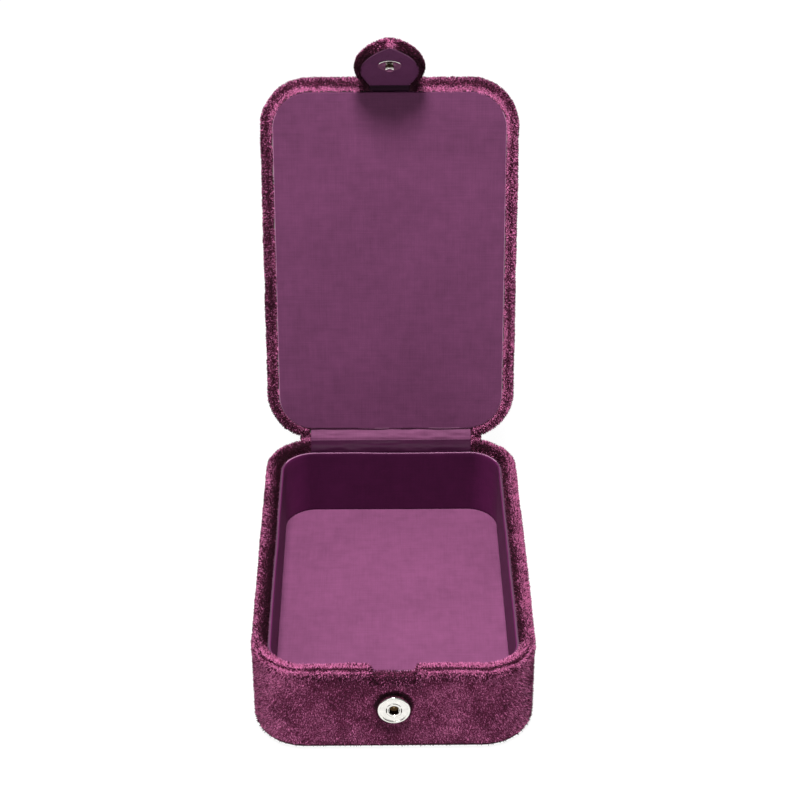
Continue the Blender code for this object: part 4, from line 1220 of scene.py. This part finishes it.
def makeSocket():
    setup = snapSetup
    bore, face, rim, radius, floor = (setup[key] for key in ("bore", "face", "rim", "radius", "floor"))
    lip, roll, back, groove = (setup[key] for key in ("lip", "roll", "backRound", "groove"))
    lipFoot, inside, seat = face - lip / 4, bore - 0.4 * mm, floor + setup["sheet"]
    profile = arcPoints((bore + lip, lipFoot), lip, 180, 90, 4)
    profile += arcPoints((bore + groove, lipFoot), lip, 90, 20, 3)
    profile += [(bore + 1.0 * mm, face - 0.08 * mm), (radius - 1.25 * mm, face - 0.14 * mm)]
    profile += arcPoints((radius - 2 * roll, face + 0.12 * mm), 0.24 * mm, 250, 300, 3)
    profile += arcPoints((radius - roll, rim - roll), roll, 140, 0, 10) + [(radius, floor + back)]
    profile += arcPoints((radius - back, floor + back), back, -10, -90, 4)
    profile += [(inside, floor), (inside, seat), (bore + groove, seat), (bore + groove, face - 0.2 * mm),
                (bore, face - 0.15 * mm), profile[0]]
    socket = turnedPiece("snap_ring", profile, frontPlace(), 128)
    for side in (-1, 1):
        cutSlit(socket, side)
    socket.data.polygons.foreach_set("use_smooth", [True] * len(socket.data.polygons))
    socket.data.set_sharp_from_angle(angle=math.radians(40))

    def isDark(polygon):  # painted shadow inside the bore, and on the slits' walls
        x, y, z = polygon.center
        z -= snapHeight
        inHole = math.hypot(x, z) < bore + groove + 0.01 * mm and -halfDepth - y < face - 0.12 * mm
        onWall = abs(polygon.normal.y) < 0.5
        return inHole or (abs(abs(x) - setup["slitOut"]) < 0.2 * mm and abs(z) < mm and onWall)

    return coat(socket, metals["platedSteel"], metals["shadowSteel"], choose=isDark)


def makeStud():
    setup = studSetup
    neck, plate, edge = setup["neck"], setup["plate"], setup["plateEdge"]
    profile = [(0, 2.02 * mm), (0.45 * mm, 2.05 * mm), (0.8 * mm, 2.15 * mm), (neck, 2.2 * mm)]
    profile += arcPoints((setup["ballOut"], setup["ballLevel"]), setup["ball"], 90, -70, 8)
    profile += [(neck + 0.05 * mm, 1.3 * mm), (neck, 1.15 * mm), (neck, 0.8 * mm),
                (neck + 0.15 * mm, 0.62 * mm), (1.75 * mm, 0.42 * mm)]
    profile += arcPoints((2.2 * mm, 0.10 * mm), 0.28 * mm, 120, 60, 4)
    profile += [(3.0 * mm, 0.36 * mm), (4.2 * mm, 0.33 * mm)]
    profile += arcPoints((plate, edge / 2), edge, 80, -60, 6) + [(4.1 * mm, -0.1 * mm), (0, -0.1 * mm)]
    stud = turnedPiece("snap_ball", profile, studPlace(), 96)
    inward = studPlace().inverted()

    # painted shadow round the stud's neck under the ball
    def onNeck(face):
        spot = inward @ face.center
        return 0.9 * mm < math.hypot(spot.x, spot.y) < 1.8 * mm and spot.z < 1.25 * mm

    return coat(stud, metals["platedSteel"], metals["shadowSteel"], choose=onNeck)


def makeRivetHead():
    setup = rivetSetup
    low, barrel, flange, under = (setup[key] for key in ("level", "barrel", "flange", "flangeLevel"))
    profile = [(0, 0.84 * mm)] + arcPoints((0, 0.30 * mm), setup["dome"], 75, 33, 4)
    profile += [(0.62 * mm, low), (1.2 * mm, low - 0.02 * mm), (1.5 * mm, low + 0.08 * mm),
                (1.68 * mm, low - 0.04 * mm), (1.45 * mm, low - 0.1 * mm), (barrel, under), (flange, under),
                (flange, under - setup["sheet"]), (0, under - setup["sheet"])]

    # a painted highlight on the dome's top
    def onDome(face):
        x, y, z = face.center
        return math.hypot(x, z - snapHeight) < 0.5 * mm and y < -halfDepth

    head = turnedPiece("rivet_head", profile, frontPlace(), 64)
    return coat(head, metals["dullBrass"], metals["brassHighlight"], choose=onDome)


socket = makeSocket()
stud = makeStud()
rivetHead = makeRivetHead()
for piece, body, node, slot in ((rivetHead, "base", "socket_rivet", "rivet_brass"),
                                (socket, "base", "snap_socket", "plated_steel"),
                                (stud, "tab", "snap_stud", "plated_steel")):
    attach(piece, body)
    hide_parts(node)
print("snap is in")


# boards, foam and paper keep the shapes they have in the frame
boardSetup = {
    "greyboard": {"colour": (0.30, 0.285, 0.26), "fleck": 0.22, "size": 2.0 * mm},
    "foam": {"colour": (0.78, 0.76, 0.70), "fleck": 0.18, "size": 0.8 * mm},
    "coverPaper": {"colour": (0.050, 0.014, 0.030), "fleck": 0.35, "size": 1.6 * mm},
}


def makeBoard(name, colour, fleck, size):
    material, tree, shader = newMaterial(name, 0.9)
    place = objectPlace(tree)
    fibre = noiseOf(tree, place, size / 5, 3, stretch=(1, 0.3, 1))
    value = sumOf(tree, (noiseOf(tree, place, size, 4), 0.6), (fibre, 0.4))
    tone = rampOf(tree, value, [(0.36, tuple(c * (1 - fleck) for c in colour)), (0.62, colour)])
    tree.links.new(tone, shader.inputs["Base Color"])
    addBump(tree, shader, value, 0.08 * mm, 0.6)
    return material


boards = {name: makeBoard(name, **setup) for name, setup in boardSetup.items()}
finishes = {boards["greyboard"]: ("base_wall_board", "base_bottom_board", "tray_wall_card", "tray_floor_card",
                                  "lid_board", "lid_liner_card", "tab_core"),
            boards["foam"]: ("lid_padding",), boards["coverPaper"]: ("base_underside_sheet",),
            metals["platedSteel"]: ("socket_spring", "stud_post")}
for finish, nodes in finishes.items():
    for node in nodes:
        coat(frame["nodes"][node], finish)
print("boards are in")

makeCamera()
makeLights()
makeFloor()
print("everything is in place")
